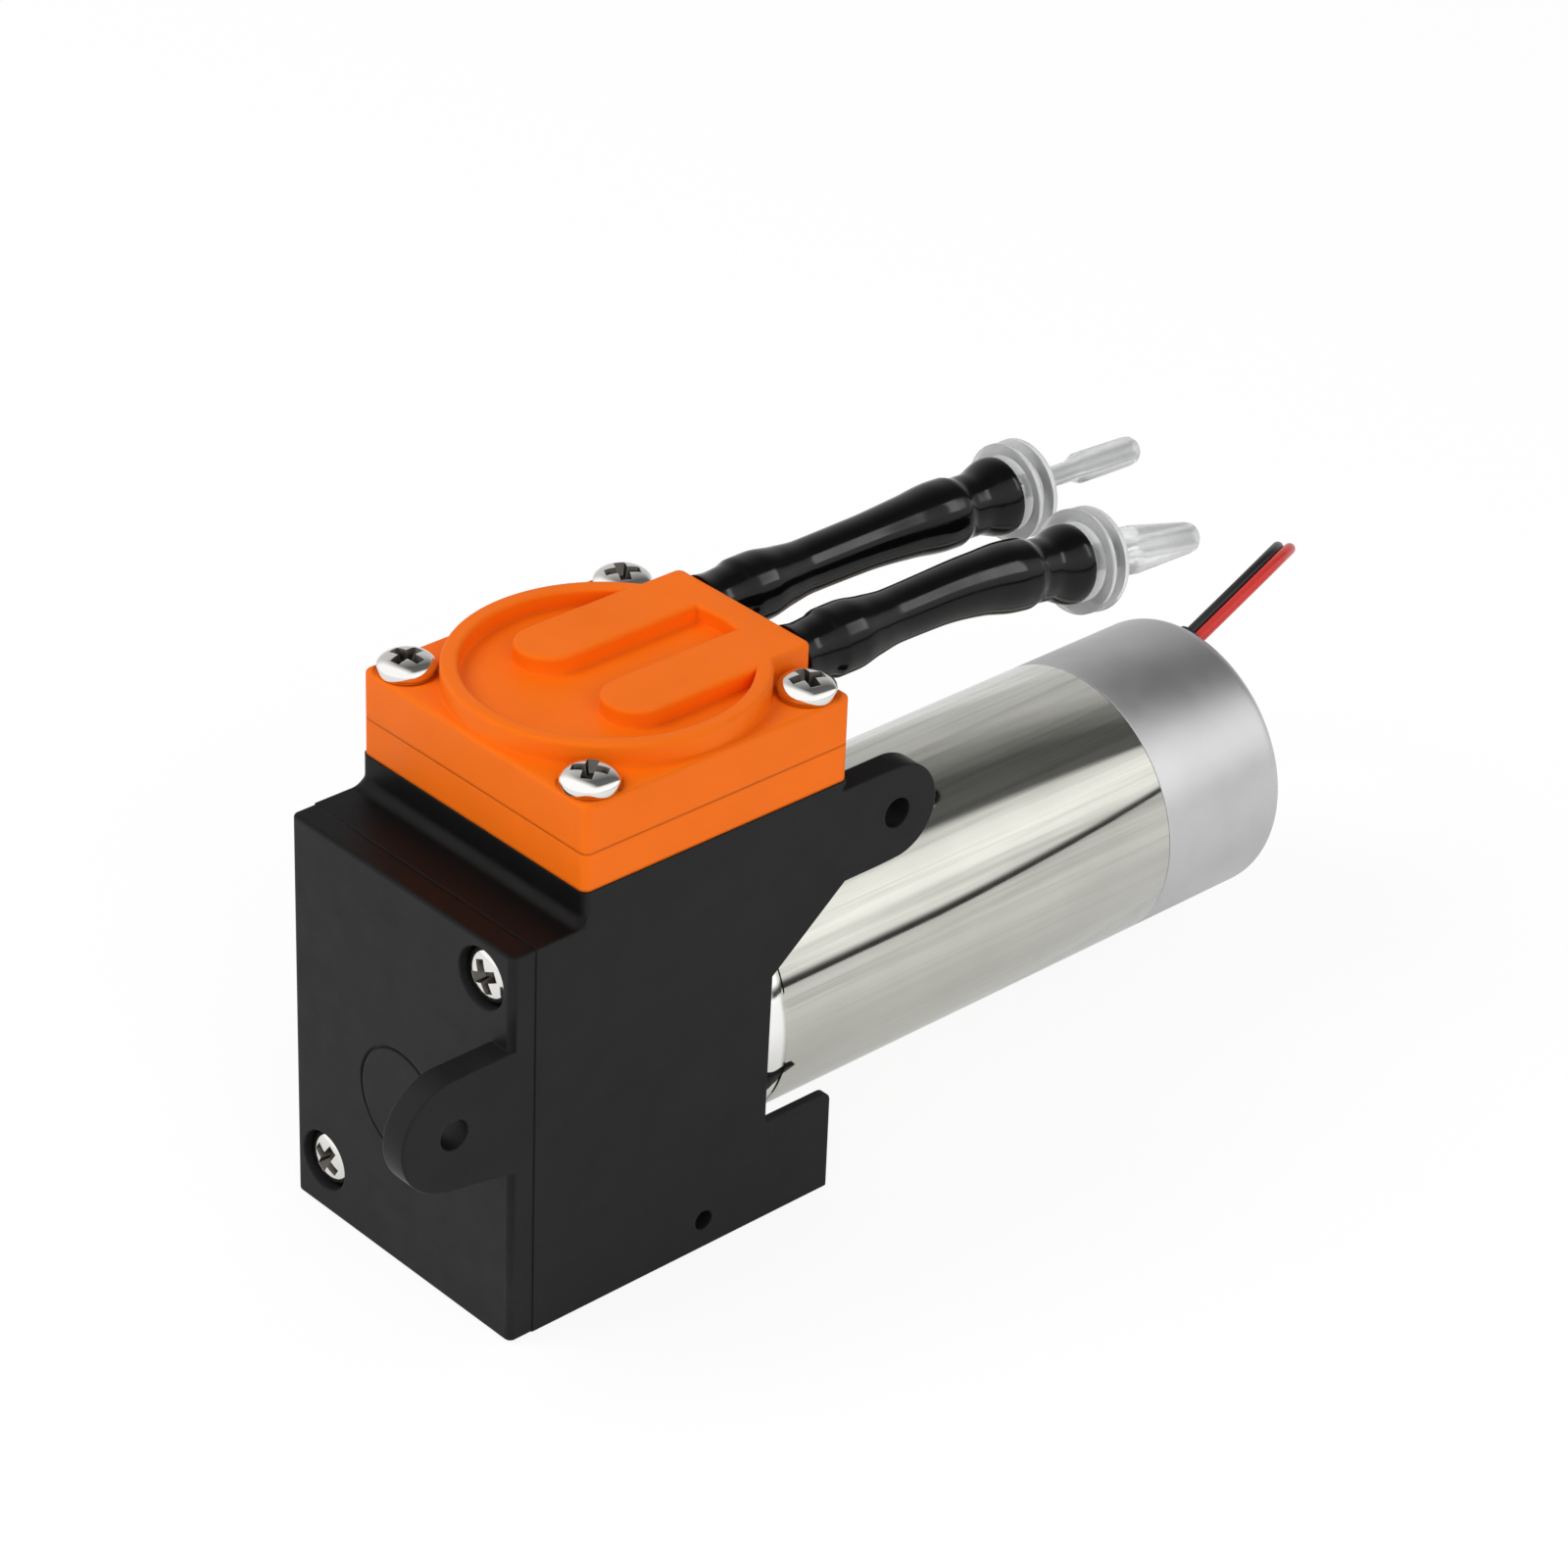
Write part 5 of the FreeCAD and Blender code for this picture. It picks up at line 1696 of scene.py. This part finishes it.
    def strand(self, form: bmesh.types.BMesh, path: Sequence[Vector],
               sides: Sequence[Vector], offset: float, index: int) -> None:
        """Add one round wire beside the centreline.

        Args:
            form: Mesh under construction.
            path: Points of the centreline.
            sides: Sideways direction at each point.
            offset: Distance to the side in millimetres.
            index: Material index of the wire.
        """
        count = self.CORNERS
        rings = []
        for spot, (point, side) in enumerate(zip(path, sides)):
            up = self.heading(path, spot).cross(side).normalized()
            centre = point + side * (offset * MM)
            ring = []
            for turn in range(count):
                angle = 2.0 * math.pi * turn / count
                around = side * math.cos(angle) + up * math.sin(angle)
                ring.append(form.verts.new(centre + around * (self.wire * MM)))
            rings.append(ring)
        faces = [form.faces.new(rings[0]), form.faces.new(list(reversed(rings[-1])))]
        for first, second in zip(rings, rings[1:]):
            for turn in range(count):
                after = (turn + 1) % count
                faces.append(form.faces.new((first[turn], second[turn], second[after],
                                             first[after])))
        for face in faces:
            face.material_index = index

    def tips(self, path: Sequence[Vector], side: Vector) -> List[bpy.types.Object]:
        """Make the two bare tinned ends.

        Args:
            path: Points of the centreline.
            side: Sideways direction at the end.

        Returns:
            The pieces.
        """
        along = self.heading(path, len(path) - 1)
        aim = along.to_track_quat("Y", "Z").to_matrix().to_4x4()
        pieces = []
        for name, offset in (("red", self.wire), ("black", -self.wire)):
            piece = self.bench.turned("lead_tip_" + name, Look.TIN, self.tip,
                                      line_y(0.0, 0.0), Ends.FILLED, self.TIP_CORNERS)
            start = path[-1] + side * (offset * MM)
            piece.data.transform(Matrix.Translation(start) @ aim)
            self.bench.shade(piece, self.TIP_SMOOTH)
            pieces.append(piece)
        return pieces

    def build(self) -> None:
        path = self.line()
        sides = self.sides(path)
        form = bmesh.new()
        self.strand(form, path, sides, self.wire, 0)
        self.strand(form, path, sides, -self.wire, 1)
        bmesh.ops.recalc_face_normals(form, faces=form.faces)
        mesh = bpy.data.meshes.new("lead")
        form.to_mesh(mesh)
        form.free()
        strands = [face.material_index for face in mesh.polygons]
        piece = self.bench.add("lead", mesh, Look.LEAD_RED)
        mesh.materials.append(self.bench.looks[Look.LEAD_BLACK])
        mesh.polygons.foreach_set("material_index", strands)
        self.bench.shade(piece, self.SMOOTH)
        ends = self.tips(path, sides[-1])
        dress(piece, Slot.LEAD, "lead_run", "lead_coil")
        for end in ends:
            dress(end, Slot.LEAD)
        tuple(value * MM for value in self.leave)
        4.0 * self.wire * MM


@dataclass(frozen=True)
class Lamp:
    """A rectangular soft lamp.

    Attributes:
        name: Name of the lamp.
        place: Where it stands, in metres.
        size: Width and height in metres.
        power: Power in watts.
        aim: Point that it faces, in metres.
    """

    name: str
    place: Point
    size: Tuple[float, float]
    power: float
    aim: Point = (0.0, 0.02, 0.03)

    def light(self) -> bpy.types.Object:
        """Make the lamp.

        Returns:
            Its object.
        """
        light = bpy.data.lights.new(self.name, "AREA")
        light.shape = "RECTANGLE"
        light.size, light.size_y = self.size
        light.energy = self.power
        lamp = linked(self.name, light)
        lamp.location = self.place
        aim = Vector(self.aim) - Vector(self.place)
        lamp.rotation_euler = aim.to_track_quat("-Z", "Y").to_euler()
        lamp.visible_camera = False
        return lamp


@dataclass(frozen=True)
class View:
    """The photo's view.

    Attributes:
        place: Where the camera stands, in millimetres.
        azimuth: Direction from the object to it, in degrees from -Y towards +X.
        height: Angle above the floor in degrees.
        roll: Turn about its own line of sight in degrees.
        lens: Focal length in millimetres.
        sensor: Width of the sensor in millimetres.
        near: Nearest distance that it shows, in metres.
        far: Farthest distance that it shows, in metres.
    """

    place: Point = (291.569, -252.430, 273.247)
    azimuth: float = 46.75871
    height: float = 30.91895
    roll: float = 2.27338
    lens: float = 116.61
    sensor: float = 36.0
    near: float = 0.01
    far: float = 50.0

    def camera(self) -> bpy.types.Object:
        """Make the camera.

        Returns:
            Its object.
        """
        azimuth, height, roll = (math.radians(angle)
                                 for angle in (self.azimuth, self.height, self.roll))
        back = Vector((math.sin(azimuth) * math.cos(height),
                       -math.cos(azimuth) * math.cos(height), math.sin(height)))
        level = Vector((math.cos(azimuth), math.sin(azimuth), 0.0))
        rise = back.cross(level)
        right = level * math.cos(roll) + rise * math.sin(roll)
        up = -level * math.sin(roll) + rise * math.cos(roll)
        data = bpy.data.cameras.new("camera")
        data.sensor_width = self.sensor
        data.lens = self.lens
        data.clip_start, data.clip_end = self.near, self.far
        camera = linked("camera", data)
        turn = Matrix((right, up, back)).transposed().to_4x4()
        camera.matrix_world = Matrix.Translation(Vector(self.place) * MM) @ turn
        return camera


@dataclass
class Studio:
    """Floor, surroundings, lamps and camera.

    Attributes:
        lamps: The soft lamps.
        window: The narrow window that only the rubber hoses mirror.
        surround: Level of the studio's walls by their direction about the Y axis in degrees.
        top: Strength of the brightest part of the surroundings.
        dim: Strength of the surroundings for matt surfaces.
        mirrored: Share of the floor's own white that metal mirrors.
        view: The photo's view.
    """

    lamps: Tuple[Lamp, ...] = (
        Lamp("key", (-0.32, -0.52, 0.72), (0.5, 0.5), 3.7),
        Lamp("fill", (0.75, -0.15, 0.45), (0.6, 0.5), 2.6),
    )
    window: Lamp = Lamp("window", (0.1676, 0.2396, 0.2344), (0.16, 0.06), 0.13,
                        (-0.002, 0.038, 0.052))
    surround: Tuple[Station, ...] = (
        (-180.0, 0.66), (-100.0, 0.60), (-40.0, 0.70), (-24.0, 0.66), (-10.0, 0.40),
        (-3.0, 0.06), (3.0, 0.06), (9.0, 1.10), (16.0, 1.22), (34.0, 1.42), (48.0, 1.25),
        (60.0, 0.95), (68.0, 0.14), (98.0, 0.12), (110.0, 0.22), (122.0, 0.32),
        (134.0, 0.48), (148.0, 0.62), (180.0, 0.66),
    )
    top: float = 1.6
    dim: float = 0.52
    mirrored: float = 0.3
    view: View = View()

    FLOOR_RADIUS = 6.0  # metres
    FLOOR_CORNERS = 96
    FLOOR_Z = -0.0002  # metres, so that it doesn't touch the faces that stand on it
    FLOOR_COLOUR = (0.92, 0.92, 0.92)
    FLOOR_ROUGHNESS = 0.7
    FLOOR_WHITE = 1.03  # strength of its own white
    SHADOW = (0.10, 0.45)  # metres from the origin between which the shadow fades
    SHADOW_WHITE = 0.86  # share of its own white under and near the pump
    FRONT = (0.12, -0.20)  # Y of a direction where the white front starts and is full
    FRONT_LEVEL = (0.75, 0.75, 0.75)  # as a share of the top strength

    def floor(self) -> None:
        """Make a white floor that keeps the soft shadow of the pump."""
        bpy.ops.object.select_all(action="DESELECT")
        bpy.ops.mesh.primitive_circle_add(vertices=self.FLOOR_CORNERS,
                                          radius=self.FLOOR_RADIUS, fill_type="NGON",
                                          location=(0.0, 0.0, self.FLOOR_Z))
        floor = bpy.context.active_object
        floor.name = "floor"
        material = bpy.data.materials.new("floor_white")
        material.use_nodes = True
        graph = Graph(material.node_tree)
        x, y, _ = graph.place()
        reach = graph.math("SQRT", x * x + y * y)
        camera = graph.term("LightPath", output="Is Camera Ray")
        through = graph.term("LightPath", output="Is Transmission Ray")
        glossy = graph.term("LightPath", output="Is Glossy Ray") * self.mirrored
        lit = graph.math("MAXIMUM", graph.spread(reach, *self.SHADOW), self.SHADOW_WHITE)
        seen = graph.math("MAXIMUM", camera, through)
        share = lit * graph.math("MAXIMUM", seen, glossy)
        matt = graph.term("BsdfPrincipled", sockets={"Base Color": self.FLOOR_COLOUR,
                                                     "Roughness": self.FLOOR_ROUGHNESS})
        white = graph.term("Emission", sockets={"Strength": self.FLOOR_WHITE})
        both = graph.term("MixShader", sockets={0: share, 1: matt, 2: white})
        graph.node("OutputMaterial", sockets={"Surface": both})
        floor.data.materials.append(material)

    def walls(self, graph: Graph) -> Term:
        """Give what gloss sees: soft boxes by direction, and a white front.

        Args:
            graph: Graph of the world.

        Returns:
            The colour, as a share of the top strength.
        """
        x, y, z = graph.place("Generated")
        turn = graph.math("ARCTAN2", z, x) / (2.0 * math.pi) + 0.5
        ramp = graph.node("ValToRGB", sockets={0: turn})
        ramp.color_ramp.interpolation = "EASE"
        stops = ramp.color_ramp.elements
        stops.remove(stops[-1])
        for number, (degrees, level) in enumerate(self.surround):
            place = min(1.0, degrees / 360.0 + 0.5)
            stop = stops[0] if number == 0 else stops.new(place)
            stop.position = place
            stop.color = (level / self.top, level / self.top, level / self.top, 1.0)
        front = graph.spread(y, *self.FRONT)
        return graph.blend(front, Term(graph, ramp.outputs[0]), self.FRONT_LEVEL)

    def surroundings(self) -> None:
        """Give soft boxes to gloss, white to the camera and an even light to the rest."""
        world = bpy.data.worlds.new("studio")
        bpy.context.scene.world = world
        world.use_nodes = True
        graph = Graph(world.node_tree)
        camera = graph.term("LightPath", output="Is Camera Ray")
        glossy = graph.term("LightPath", output="Is Glossy Ray")
        through = graph.term("LightPath", output="Is Transmission Ray")
        even = graph.term("Background", sockets={"Color": WHITE, "Strength": self.dim})
        white = graph.term("Background", sockets={"Color": WHITE, "Strength": 1.0})
        boxes = graph.term("Background", sockets={"Color": self.walls(graph),
                                                  "Strength": self.top})
        plain = graph.term("MixShader", sockets={
            0: graph.math("MAXIMUM", camera, through), 1: even, 2: white})
        whole = graph.term("MixShader", sockets={0: glossy, 1: plain, 2: boxes})
        graph.node("OutputWorld", sockets={"Surface": whole})

    def hang_lamps(self) -> None:
        """Hang the soft lamps, and the window for the hoses alone."""
        for spec in self.lamps:
            spec.light().visible_glossy = False
        pane = self.window.light()
        pane.visible_diffuse = False
        toward = (Vector(self.window.place) - Vector(self.window.aim)).normalized()
        across = Vector((0.0, 1.0, 0.0)).cross(toward).normalized()
        turned = Matrix((across, toward.cross(across), toward)).transposed()
        pane.rotation_euler = turned.to_euler()
        group = bpy.data.collections.new("hoses")
        for piece in bpy.context.scene.objects:
            if piece.name.endswith("_hose_skin"):
                group.objects.link(piece)
        pane.light_linking.receiver_collection = group

    def build(self) -> None:
        """Make the whole studio."""
        bpy.context.scene.view_settings.view_transform = "Standard"
        self.floor()
        self.surroundings()
        self.hang_lamps()
        bpy.context.scene.camera = self.view.camera()


def main() -> None:
    """Build the scene."""
    logging.basicConfig(level=logging.INFO)
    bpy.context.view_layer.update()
    bench = Bench(FINISHES)
    for part in (Shells(bench), Screws(bench), Diaphragm(bench), Hoses(bench), Motor(bench),
                 Lead(bench)):
        part.build()
    Studio().build()


if __name__ == "__main__":
    main()
